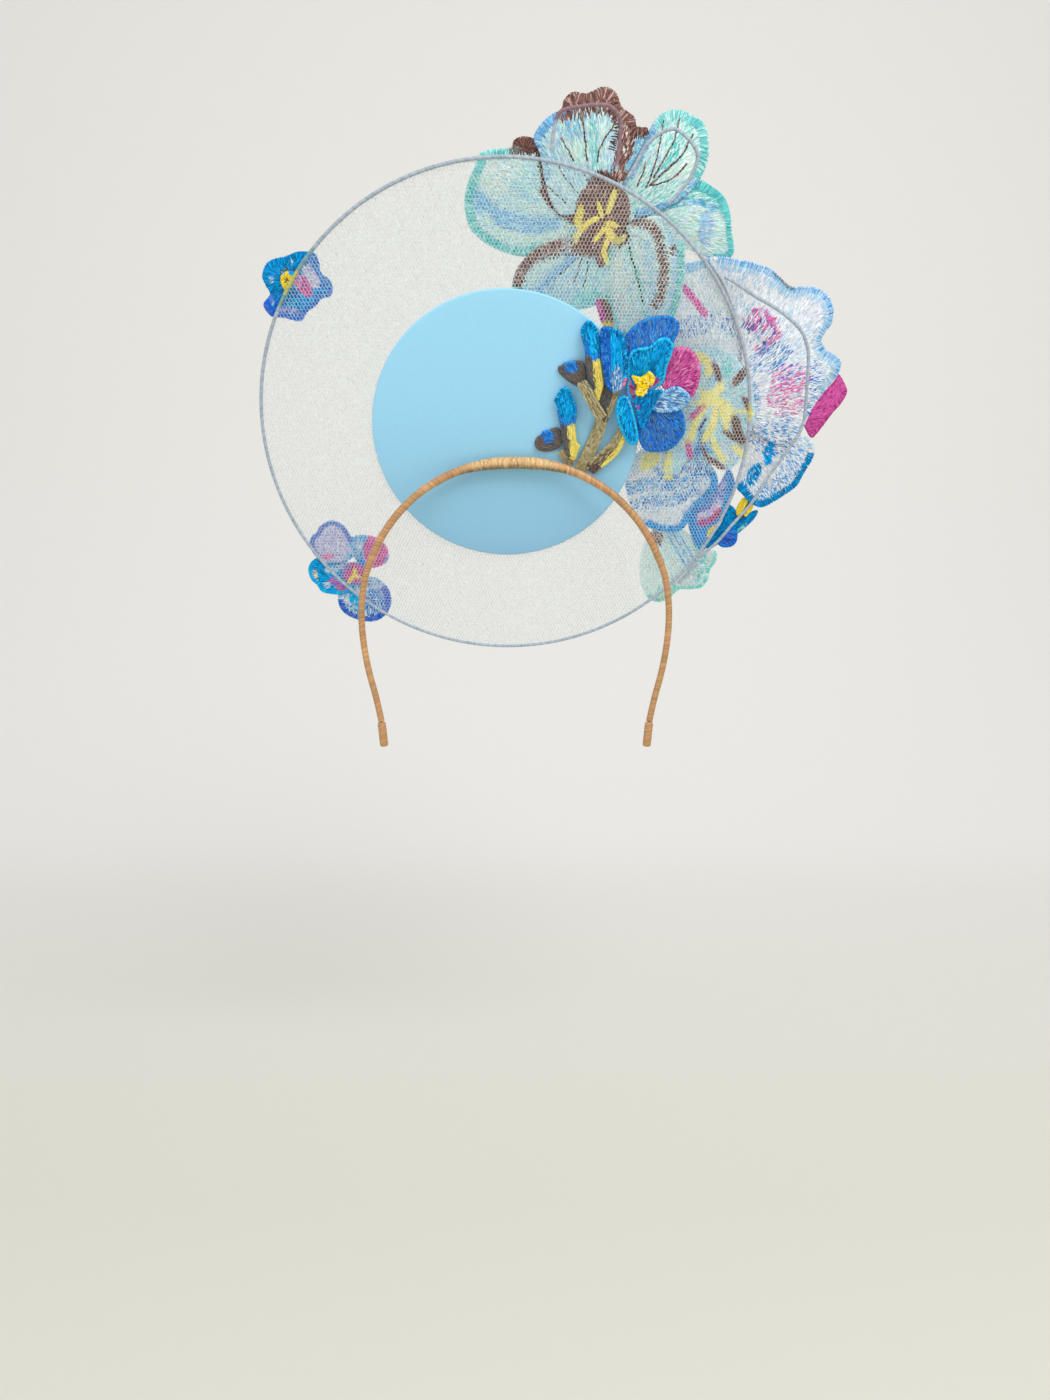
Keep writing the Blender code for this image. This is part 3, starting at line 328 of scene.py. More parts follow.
PAINT = {
    "teal_centre": (everywhere("brown brown umber russet"), everywhere("rosy", 0.07), spot("mint cream", 622, 240, 6, 8)),
    "teal_centre_front": (everywhere("brown brown umber russet"), everywhere("rosy", 0.07)),
    "teal_petal_top": (
        everywhere("sky sky mint mint cream pale"),
        spot("sky sky cornflower mint", 573, 126, 11, 11, 0, 0.7),
        spot("mint cream mint", 577, 152, 13, 12, 0, 0.75),
        spot("sky pale mint", 611, 150, 8, 18, 0, 0.7),
        spot("cream mint", 603, 128, 4, 12, 10, 0.8),
        line("teal teal mint", 8, ((593, 122), (594, 145), (596, 167)), 0.7),
        line("cornflower cornflower sky azure", 14, ((533, 141), (545, 123), (558, 110)), 0.9),
        line("cornflower sky", 5, ((538, 140), (546, 160), (548, 180)), 0.6),
        line("brown brown umber russet rosy", 20, ((560, 110), (568, 103), (578, 103), (590, 100), (603, 98), (612, 103), (619, 112))),
        line("brown umber russet rosy brown", 18, ((617, 104), (624, 114), (627, 128), (626, 145), (623, 160), (621, 172))),
        line("rosy cream", 5, ((627, 122), (627, 138), (624, 156)), 0.35),
        line("umber brown umber", 9, ((632, 124), (640, 128), (648, 131))),
        line("sky cornflower teal", 6, ((641, 136), (636, 150), (628, 168)), 0.85),
        spot("brown brown umber", 602, 184, 15, 14, 0, 0.95)),
    "teal_petal_left": (
        everywhere("mint mint cream sky pale"),
        spot("mint cream white", 495, 176, 15, 18, 0, 0.8),
        spot("sky mint mint", 528, 180, 14, 22, 10, 0.8),
        spot("mint cream", 515, 168, 7, 16, 0, 0.6),
        line("cornflower sky sky", 18, ((474, 196), (492, 213), (520, 224), (552, 224)), 0.85),
        line("mint cream mint", 9, ((484, 216), (500, 234), (530, 241), (556, 236)), 0.85),
        spot("brown umber brown", 527, 145, 13, 8, 0),
        line("brown umber", 5, ((540.5, 148), (541.5, 170), (546, 192))),
        line("brown umber russet", 14, ((547, 190), (558, 206), (572, 216))),
        spot("mint cream sky", 566, 232, 9, 7, 0, 0.95),
        spot("brown russet umber", 580, 213, 13, 13, 0, 0.95)),
    "teal_petal_corner": (
        everywhere("mint mint teal cream pale"),
        spot("teal deepteal mint", 672, 152, 6, 22, 22, 0.85),
        spot("mint cream sky", 655, 160, 7, 22, 22, 0.8),
        spot("cream mint white", 686, 166, 8, 16, 30, 0.75),
        line("cornflower sky sky", 7, ((645, 140), (634, 162), (622, 184), (612, 204)), 0.9),
        line("cornflower sky", 12, ((700, 182), (682, 198), (662, 208), (640, 214)), 0.85),
        spot("brown umber", 620, 214, 10, 8, 0, 0.9)),
    "teal_petal_right": (
        everywhere("mint mint cream pale"),
        spot("teal teal mint cream", 700, 194, 26, 8, 10, 0.85),
        line("cornflower teal sky", 8, ((658, 208), (680, 203), (700, 202), (716, 208)), 0.85),
        spot("sky lilac sky", 706, 228, 8, 18, 0, 0.75),
        spot("teal mint mint", 662, 222, 18, 8, 0, 0.6),
        line("teal deepteal teal", 10, ((686, 188), (704, 188), (720, 200), (727, 214))),
        line("sky cornflower", 10, ((646, 214), (636, 224), (644, 232)), 0.85),
        spot("brown umber russet", 627, 224, 8, 9, 0, 0.95)),
    "teal_petal_low_right": (
        everywhere("mint mint cream white sky"),
        line("sky sky pale", 9, ((672, 236), (676, 258), (674, 284), (667, 308)), 0.8),
        line("teal mint teal", 9, ((608, 250), (605, 272), (607, 300), (615, 326)), 0.9),
        line("teal mint", 6, ((628, 250), (637, 274), (643, 296), (646, 318)), 0.75),
        line("cream white mint", 9, ((617, 258), (620, 284), (626, 310)), 0.8),
        line("sky pale sky", 8, ((646, 244), (650, 264), (652, 290), (648, 316)), 0.6),
        line("brown russet umber rosy brown mint", 10, ((634, 222), (650, 226), (658, 235), (661, 249), (664, 268), (662, 288), (656, 306)), 0.72),
        spot("brown umber", 674, 250, 4, 6, 30, 0.8),
        spot("brown umber", 620, 236, 9, 10, 0, 0.9)),
    "teal_petal_low_left": (
        everywhere("sky sky mint pale cream"),
        spot("mint mint sky", 592, 278, 12, 26, 0, 0.85),
        spot("teal teal mint", 590, 300, 18, 9, 0, 0.9),
        line("cornflower sky sky", 8, ((572, 258), (556, 272), (540, 288), (530, 300)), 0.65),
        line("mint cream", 8, ((560, 256), (540, 268), (526, 284)), 0.7),
        line("brown russet umber rosy brown mint", 15, ((514, 284), (521, 267), (532, 256), (546, 249), (562, 246), (582, 245)), 0.74),
        line("rosy pale", 4, ((520, 270), (540, 254), (566, 247)), 0.3),
        spot("brown brown russet", 590, 246, 16, 11, 0, 0.95)),
    "slip_bud": (
        everywhere("magenta wine pink"),
        line("brown umber russet", 7, ((604, 300), (609, 314), (609, 324))),
        spot("soft amber stamen", 607, 325, 5, 4)),
    "pale_centre": (
        everywhere("sky sky pale mint mint"),
        spot("teal mint teal", 727, 368, 5, 10, 0, 0.9),
        spot("sky azure pale", 713, 375, 6, 7, 0, 0.8),
        spot("mint sky pale", 736, 404, 9, 12, 0, 0.7),
        line("azure cornflower steel", 9, ((703, 434), (699, 448), (690, 464)), 0.9),
        line("steel azure", 5, ((712, 470), (706, 458), (702, 446)), 0.8),
        spot("sky cornflower azure", 708, 447, 7, 10, 20, 0.7),
        spot("pale sky white", 728, 452, 8, 12, 0, 0.85),
        spot("butter soft", 668, 462, 5, 12, 0, 0.9)),
    "pale_centre_front": (
        everywhere("soft soft amber straw"),
        rim("sky pale mint", 9.0, 0.6),
        spot("brown umber", 736, 398, 6, 9, 20, 0.9),
        spot("magenta wine", 696, 412, 5, 8, 30, 0.9),
        spot("brown umber", 716, 438, 8, 5, 0, 0.9)),
    "pale_petal_right": (
        everywhere("white white pale white pale"),
        everywhere("sky", 0.08),
        spot("lilac pale white", 818, 318, 8, 14, 0, 0.6),
        spot("magenta pink magenta", 758, 320, 14, 12, -40, 0.54),
        spot("magenta pink", 772, 324, 8, 9, -40, 0.54),
        line("magenta pink magenta", 9, ((776, 334), (766, 344), (758, 350)), 0.6),
        spot("royal navy steel", 758, 328, 15, 22, -20, 0.22),
        spot("royal azure steel cornflower", 770, 358, 24, 12, -25, 0.32),
        spot("magenta pink magenta", 790, 378, 20, 14, 0, 0.42),
        spot("pink magenta pink", 786, 400, 20, 17, 0, 0.40),
        spot("violet royal", 792, 374, 22, 12, 0, 0.16),
        line("royal azure cornflower", 13, ((816, 368), (816, 390), (812, 412)), 0.32),
        spot("azure royal cornflower", 782, 430, 20, 14, 0, 0.24),
        line("cornflower azure lilac steel", 13, ((754, 388), (753, 404), (756, 424), (764, 440)), 0.34)),
    "pale_petal_upper": (
        everywhere("pale white pale white"),
        everywhere("mint sky", 0.16),
        spot("white white pale", 722, 352, 20, 9, 0, 0.8),
        line("steel azure cornflower royal", 19, ((680, 330), (700, 324), (722, 322), (742, 332)), 0.3),
        line("cornflower steel", 9, ((742, 310), (746, 330), (745, 350)), 0.3),
        line("magenta magenta pink", 7.5, ((682, 286), (691, 296), (700, 308), (705, 314))),
        spot("soft soft amber", 704, 362, 9, 10, 30, 0.9)),
    "pale_petal_side": (
        everywhere("pale white white pale"),
        line("steel lilac azure", 22, ((754, 434), (766, 444), (782, 448)), 0.34),
        line("azure turquoise", 18, ((800, 458), (784, 478), (766, 492)), 0.3),
        spot("turquoise deepturquoise turquoise", 769, 452, 5, 15, 14, 0.9),
        spot("turquoise deepturquoise turquoise", 754, 474, 6, 13, 24, 0.85),
        spot("turquoise azure", 743, 486, 4, 8, 24, 0.7),
        line("turquoise deepturquoise turquoise", 9, ((813, 458), (803, 474), (796, 485), (784, 494), (771, 502), (760, 506), (751, 502), (743, 494)), 0.9),
        spot("sky sky white", 805, 442, 8, 8, 0, 0.9)),
    "pale_petal_low": (
        everywhere("white white pale sky"),
        line("white white pale", 8, ((634, 478), (650, 472), (676, 474), (704, 466)), 0.85),
        line("turquoise azure steel turquoise", 14, ((630, 488), (652, 484), (676, 484), (704, 474)), 0.45),
        line("steel azure turquoise", 11, ((636, 504), (656, 500), (676, 500), (696, 492)), 0.45),
        line("white white pale", 6, ((640, 514), (660, 516), (680, 510), (694, 498)), 0.85),
        line("sky sky azure cornflower steel", 13, ((660, 444), (678, 454), (696, 458), (710, 468)), 0.7),
        line("azure turquoise steel", 6, ((656, 470), (668, 478), (682, 470), (700, 468)), 0.6),
        spot("butter soft butter straw", 650, 460, 10.5, 7.5, -35, 0.97), spot("butter soft", 645, 466, 5, 5, 0, 0.9),
        line("butter soft", 9.0, ((683, 444), (671, 456), (668, 476)))),
    "magenta_petal": (everywhere("magenta magenta magenta wine"),),
    # painted shade: the dark rim rows of the freesia petals (navy, deepturquoise, wine) are the shade in the groove
    # just inside the raised satin cord
    "freesia_petal_back": (everywhere("royal royal steel azure"), rim("navy steel", 5.4, 0.5), spot("azure steel sky", 652, 338, 16, 6, -12, 0.3)),
    "freesia_petal_upper": (
        everywhere("turquoise turquoise aqua turquoise deepturquoise"),
        rim("deepturquoise navy", 4.6, 0.6),
        line("deepturquoise deepturquoise turquoise", 7, ((662, 352), (654, 366), (650, 378)), 0.7),
        line("deepturquoise turquoise", 6, ((633, 372), (636, 360), (644, 353)), 0.6),
        spot("magenta pink wine", 647, 384, 13, 8, -20, 0.9),
        line("magenta wine pink", 9, ((627, 382), (630, 393), (635, 405)), 0.95)),
    "freesia_petal_magenta": (everywhere("magenta pink wine magenta"), rim("wine", 5.2, 0.5), spot("wine magenta", 684, 372, 9, 14, 0, 0.35)),
    "freesia_petal_pale": (everywhere("sky azure pale steel sky"), spot("royal azure steel", 667, 403, 12, 5, 0, 0.4),
                           spot("steel sky", 672, 393, 12, 5, 0, 0.6)),
    "freesia_petal_low": (everywhere("royal steel azure royal"), rim("navy steel", 5.6, 0.5), spot("steel steel navy azure", 660, 426, 15, 15, 0, 0.6)),
    "freesia_petal_left": (
        everywhere("turquoise turquoise aqua turquoise deepturquoise"),
        rim("deepturquoise navy", 4.4, 0.5),
        line("royal royal azure navy", 11, ((605, 328), (605, 350), (607.5, 370), (612, 388))),
        spot("sky pale steel azure", 617, 380, 6.5, 14, 0, 0.95),
        line("magenta pink", 3, ((625, 379), (624, 386), (619, 392)), 0.8)),
    "freesia_petal_front": (everywhere("turquoise turquoise aqua turquoise deepturquoise"), rim("deepturquoise navy", 4.4, 0.5),
                            line("magenta pink", 3.5, ((629, 399), (633, 411), (636, 424)), 0.9)),
    "freesia_petal_fold": (everywhere("deepturquoise deepturquoise turquoise navy"), line("magenta wine", 4, ((634, 398), (637, 410)), 0.9)),
    "freesia_stamens": (everywhere("stamen stamen lemon"),),
    # painted shade: the deepturquoise rim rows of the buds are the shade in the groove just inside the raised cord
    "bud_top": (
        everywhere("turquoise turquoise aqua turquoise deepturquoise"),
        rim("deepturquoise", 4.4, 0.5),
        spot("royal azure", 586, 346, 4, 14, 0, 0.5),
        line("azure royal", 4.5, ((583, 344), (587, 355), (595, 359), (601, 352))),
        line("bark bark slate", 9, ((588.5, 360), (590, 371), (594, 383), (598, 392))),
        line("lemon lemon straw lemon", 9.5, ((597.5, 364), (599, 376), (599.5, 388), (598.5, 399)))),
    "bud_second": (everywhere("bark bark slate bark"), spot("royal azure azure", 571, 367, 7, 5.5, -10, 0.98)),
    "bud_third": (
        everywhere("turquoise turquoise aqua turquoise deepturquoise"),
        rim("deepturquoise", 4.4, 0.45),
        line("bark bark slate", 9, ((564, 426), (566, 438), (569.5, 452))),
        line("lemon lemon straw lemon", 9, ((572, 428), (573.5, 440), (575, 456))),
        line("azure royal azure", 5, ((558, 413), (562, 421), (570, 423), (577, 415)))),
    "bud_low": (everywhere("bark bark slate bark"), spot("royal azure azure", 548, 436.5, 6, 6.5, 0, 0.98)),
    "pansy_petals": (
        everywhere("turquoise deepturquoise azure deepturquoise"),
        line("deepturquoise deepturquoise turquoise", 8, ((276, 268), (286, 264), (298, 264)), 0.8),
        spot("cornflower royal azure", 321, 276, 16, 26, 0, 0.95),
        spot("cornflower royal", 316, 262, 8, 10, 0, 0.95),
        spot("lilac white lilac", 311, 277, 7, 14, -30, 0.9),
        spot("turquoise aqua azure deepturquoise", 308, 299, 22, 9, -12, 0.92),
        spot("violet cornflower royal lilac", 292, 314, 15, 7, 8, 0.95),
        spot("royal royal azure", 270, 306, 9, 13, 0, 0.97),
        spot("lilac sky", 272, 301, 2.0, 5, -20, 0.8),
        spot("magenta pink magenta", 304, 286, 6.5, 13, -35, 0.97),
        spot("white sky", 271, 279, 2.0, 5, 0, 0.85),
        spot("white sky", 291.5, 261, 2.2, 3.5, 0, 0.8),
        spot("bark slate lilac", 286, 271, 7, 3, 0, 0.7)),
    "pansy_heart": (
        everywhere("deepturquoise turquoise"),
        spot("lilac pink magenta", 299, 279, 6, 11, 0, 0.95),
        spot("stamen stamen lemon", 287.5, 281, 6.8, 7.5),
        spot("bark umber", 287, 280, 2.4, 2.4, 0, 0.9)),
    "left_petal_lilac": (
        everywhere("lilac lilac white lilac"),
        everywhere("violet", 0.07),
        line("sky azure sky", 9, ((352, 540), (355, 550), (348, 560)), 0.9),
        spot("pink magenta pink", 328, 557, 6, 3.5, -10, 0.85)),
    "left_petal_magenta": (
        everywhere("sky sky azure cornflower"),
        spot("white pale sky", 358, 547, 4, 7, 10, 0.8),
        spot("magenta magenta pink", 376, 550, 12, 19, 10, 0.97),
        spot("turquoise azure", 358, 562, 8, 4, 0, 0.8)),
    "left_petal_turquoise": (
        everywhere("turquoise turquoise aqua deepturquoise"),
        spot("azure turquoise deepturquoise", 340, 563, 22, 6, 5, 0.7),
        line("lilac sky white", 6, ((328, 571), (338, 568), (350, 564)), 0.8),
        spot("white pink soft", 315, 574, 2.2, 6, -20, 0.75),
        spot("white lilac", 327, 585, 4, 3, 30, 0.6),
        line("magenta pink violet", 6, ((332, 580), (340, 587), (350, 594)))),
    "left_petal_low": (
        everywhere("sky pale azure pale"),
        line("turquoise aqua", 8, ((346, 592), (356, 600), (362, 610)), 0.9),
        spot("pale white", 346, 598, 4, 5, 0, 0.8),
        spot("royal azure", 374, 602, 10, 14, 0, 0.5)),
    "left_heart": (everywhere("magenta magenta pink wine"), rim("turquoise azure magenta", 3.5, 0.5)),
    "low_petal_violet": (
        everywhere("violet cornflower azure steel"),
        line("azure turquoise deepturquoise", 6, ((731, 474), (728, 496), (718, 518), (706, 540)), 0.8),
        spot("violet lilac", 720, 494, 5, 14, 14, 0.6),
        line("azure turquoise azure", 12, ((690, 518), (694, 534), (701, 546)), 0.85),
        line("lilac lilac pale pink", 7, ((700, 516), (710, 512), (719, 503)), 0.92),
        line("wine magenta wine", 6, ((700, 523), (710, 520), (719, 511)), 0.95),
        spot("azure turquoise", 702, 536, 6, 8, 20, 0.8),
        spot("lemon stamen", 712, 530, 5, 3, -40, 0.9)),
    "low_petal_turquoise": (everywhere("deepturquoise turquoise deepturquoise"),
                            line("teal mint turquoise", 3.0, ((712, 548), (728, 538), (746, 524)), 0.6)),
    "low_petal_royal": (everywhere("royal royal navy violet"),),
    "low_stamens": (everywhere("stamen lemon stamen"), line("bark umber", 3.5, ((751, 500), (746, 508), (742, 516)), 0.9)),
    "mint_petal": (
        everywhere("mint mint cream pale white"),
        spot("mint white pale", 698, 564, 9, 12, 0, 0.7),
        spot("white mint pale", 688, 576, 10, 8, 0, 0.7),
        line("sky mint sky", 16, ((674, 536), (683, 552), (692, 566)), 0.6),
        line("sky cornflower sky azure", 1.6, ((668, 535), (678, 552), (686, 566))),
        line("sky cornflower sky azure", 1.6, ((674, 535), (683, 551), (690, 564))),
        line("sky cornflower sky azure", 1.6, ((680, 535), (688, 549), (695, 561))),
        line("teal mint sky", 5, ((704, 556), (702, 570), (696, 582)), 0.7),
        line("mint teal", 6, ((694, 544), (700, 556), (706, 566)), 0.6),
        spot("teal mint mint", 668, 590, 12, 8, 0, 0.7),
        spot("brown umber rosy", 657, 537, 6, 9, 0, 0.9)),
    "stem_main": (
        everywhere("khaki khaki khaki drab"),
        line("bark bark slate", 12, ((606, 382), (606.5, 396), (604.5, 404))),
        line("bark bark slate", 6, ((604, 402), (604, 410), (604, 419)))),
    "stem_branch": (everywhere("khaki khaki khaki drab"),),
    "stem_low": (everywhere("khaki khaki khaki drab"),),
    "stem_side": (
        everywhere("khaki khaki drab"),
        line("lemon straw lemon", 7.5, ((626, 436), (620.5, 448), (612, 458), (603, 465))),
        line("bark drab bark", 8, ((609, 453), (601, 460), (594, 467)), 0.75),
        spot("bark umber", 594, 468, 6, 5, 0, 0.8)),
}

# ---- raised satin cord round a petal: its colours and width in view units
CORDS = {
    "freesia_petal_back": ("azure royal azure", 3.4), "freesia_petal_upper": ("aqua aqua turquoise", 3.2),
    "freesia_petal_magenta": ("magenta pink magenta", 3.4), "freesia_petal_pale": ("sky azure sky", 3.2),
    "freesia_petal_low": ("azure royal", 3.6), "freesia_petal_left": (None, 3.0),
    "freesia_petal_front": ("aqua aqua turquoise", 3.0), "freesia_petal_fold": ("turquoise deepturquoise", 2.8),
    "bud_top": (None, 2.6), "bud_third": (None, 2.6), "bud_second": (None, 2.6), "bud_low": (None, 2.6),
}

# ---- satin stitches that run in from a stretch of a petal's outline (the whole of it where none is given)
Rim = namedtuple("Rim", "petal colours width route")
RIMS = (
    Rim("teal_petal_left", "teal teal deepteal mint", 9.0, ((541, 252), (525.7, 256.7), (508, 253.5), (493, 247.6), (480, 239), (470.6, 229),
        (466, 215), (464.5, 202.7), (467, 187), (473, 170), (481, 153), (498, 149), (511, 147.6))),
    Rim("teal_petal_left", "brown umber russet", 9.0, ((512, 146), (518, 138), (525, 136.5), (532, 138), (541, 149))),
    Rim("teal_petal_corner", "teal teal deepteal mint", 8.5, ((656, 119), (666.5, 111.8), (678.8, 109.8), (689, 113.9), (701, 120), (707.3, 133.3),
        (708.4, 155.7), (701, 177))),
    Rim("teal_petal_corner", "cornflower sky sky", 7.0, ((652, 126), (646, 138), (638, 153), (628, 172))),
    Rim("teal_petal_right", "teal deepteal teal", 6.0, ((699, 180), (711.4, 186.3), (723.7, 196.5), (729.8, 212.9), (731.8, 233), (734, 249.6),
        (729.8, 257.5), (715, 260))),
    Rim("teal_petal_top", "cornflower sky cornflower", 7.0, ((534, 138), (546, 119), (560, 109.5))),
    Rim("teal_petal_top", "brown brown umber russet russet brown rosy", 9.0, ((561, 109), (564, 100), (573, 92), (587, 93.5), (603, 87), (615.5, 92), (622, 107),
        (634, 117), (637, 127), (648, 129))),
    Rim("teal_petal_low_left", "brown umber russet brown rosy", 9.0, ((512.4, 288), (513, 280), (518, 267), (529.8, 253.7), (543, 245), (558.4, 239.4))),
    Rim("teal_petal_low_left", "teal mint sky", 6.0, ((512.4, 290), (520, 300), (540, 308), (560, 311), (583, 309), (599, 303))),
    Rim("teal_petal_low_right", "teal teal deepteal mint", 8.0, ((684, 245), (685, 270), (682, 292), (677, 310), (670, 324), (658, 336), (640, 342), (622, 338))),
    Rim("pale_petal_right", "sky sky pale", 11.0, ((722, 257), (740.4, 260), (757.9, 264), (771, 269.5), (780, 277), (791, 286.5), (807.4, 286.5),
        (820.8, 289.6), (830, 299), (833.5, 311), (831.5, 323), (824.8, 332.4), (821.5, 341), (826, 349.8), (836.9, 356.5), (841, 364), (836, 378), (825, 391))),
    Rim("pale_petal_right", "cornflower azure sky", 6.0, ((722, 257), (740.4, 260), (757.9, 264), (771, 269.5), (780, 277), (791, 286.5), (807.4, 286.5),
        (820.8, 289.6), (830, 299), (833.5, 311), (831.5, 323), (824.8, 332.4), (821.5, 341), (826, 349.8), (836.9, 356.5), (841, 364), (838, 376))),
    Rim("pale_petal_right", "slate bark slate", 3.4, ((777, 274), (783, 280), (790, 286))),
    Rim("pale_petal_upper", "sky cornflower sky", 9.0, ((684, 266), (697, 261), (712, 257.5), (726, 258))),
    Rim("pale_petal_side", "deepturquoise turquoise deepturquoise", 8.5, ((813, 456), (803.4, 474), (796.7, 486), (784.6, 495), (771, 503), (760.5, 507), (751, 503),
        (743, 495), (736.4, 486))),
    Rim("pale_petal_low", "turquoise deepturquoise turquoise", 8.0, ((717, 474), (717.7, 479), (715, 491), (703, 503), (692, 514), (685.5, 526), (676, 532.7),
        (660, 531.3), (646, 526))),
    Rim("magenta_petal", "magenta magenta wine", 6.0, ()),
    Rim("pansy_petals", "deepturquoise turquoise deepturquoise", 6.0, ((270.2, 294), (266, 285.4), (262.5, 275.6), (266.7, 263.7), (275, 258.8), (285, 256.7), (298, 251.8), (308, 252.5))),
    Rim("pansy_petals", "cornflower royal", 5.0, ((312, 253), (318, 259), (321, 272), (330.5, 280.5), (332.6, 289.6), (330, 296), (322, 299))),
    Rim("pansy_petals", "royal royal azure", 5.0, ((320, 300), (315.8, 305.8), (307.4, 312), (303, 319), (297.5, 321.2), (285, 318), (280, 317))),
    Rim("pansy_petals", "royal royal violet", 5.0, ((277, 317), (272.3, 316.3), (265.3, 309.3), (263.9, 303), (269, 296))),
    Rim("left_petal_lilac", "royal cornflower violet", 5.0, ((312.5, 552), (309.6, 542.5), (311.8, 536.5), (316.5, 532.5), (319.5, 527), (324, 523), (331.5, 520.4),
        (338, 522), (343.8, 525.5), (347.8, 531), (351.5, 538))),
    Rim("left_petal_turquoise", "turquoise aqua turquoise", 5.0, ((313.4, 560), (308.5, 569), (311.6, 579.5), (317.5, 585), (323.2, 592), (339, 594.6), (350, 592))),
    Rim("left_petal_low", "royal violet royal", 7.5, ((338.4, 602), (343, 611.6), (353.6, 618), (368, 621.4), (382, 618), (391, 605), (388, 588))),
    Rim("mint_petal", "teal teal mint", 4.5, ((716.5, 552), (715.5, 562), (710.4, 569), (707.3, 580), (701, 587.3), (689, 589.4), (678.8, 589.4), (670.6, 596.5),
        (660, 601.6), (648, 598))),
    Rim("low_petal_violet", "turquoise azure deepturquoise", 6.0, ((688, 514), (691, 535), (699, 549), (708, 543))),
    Rim("low_petal_royal", "royal azure royal", 4.0, ()),
)

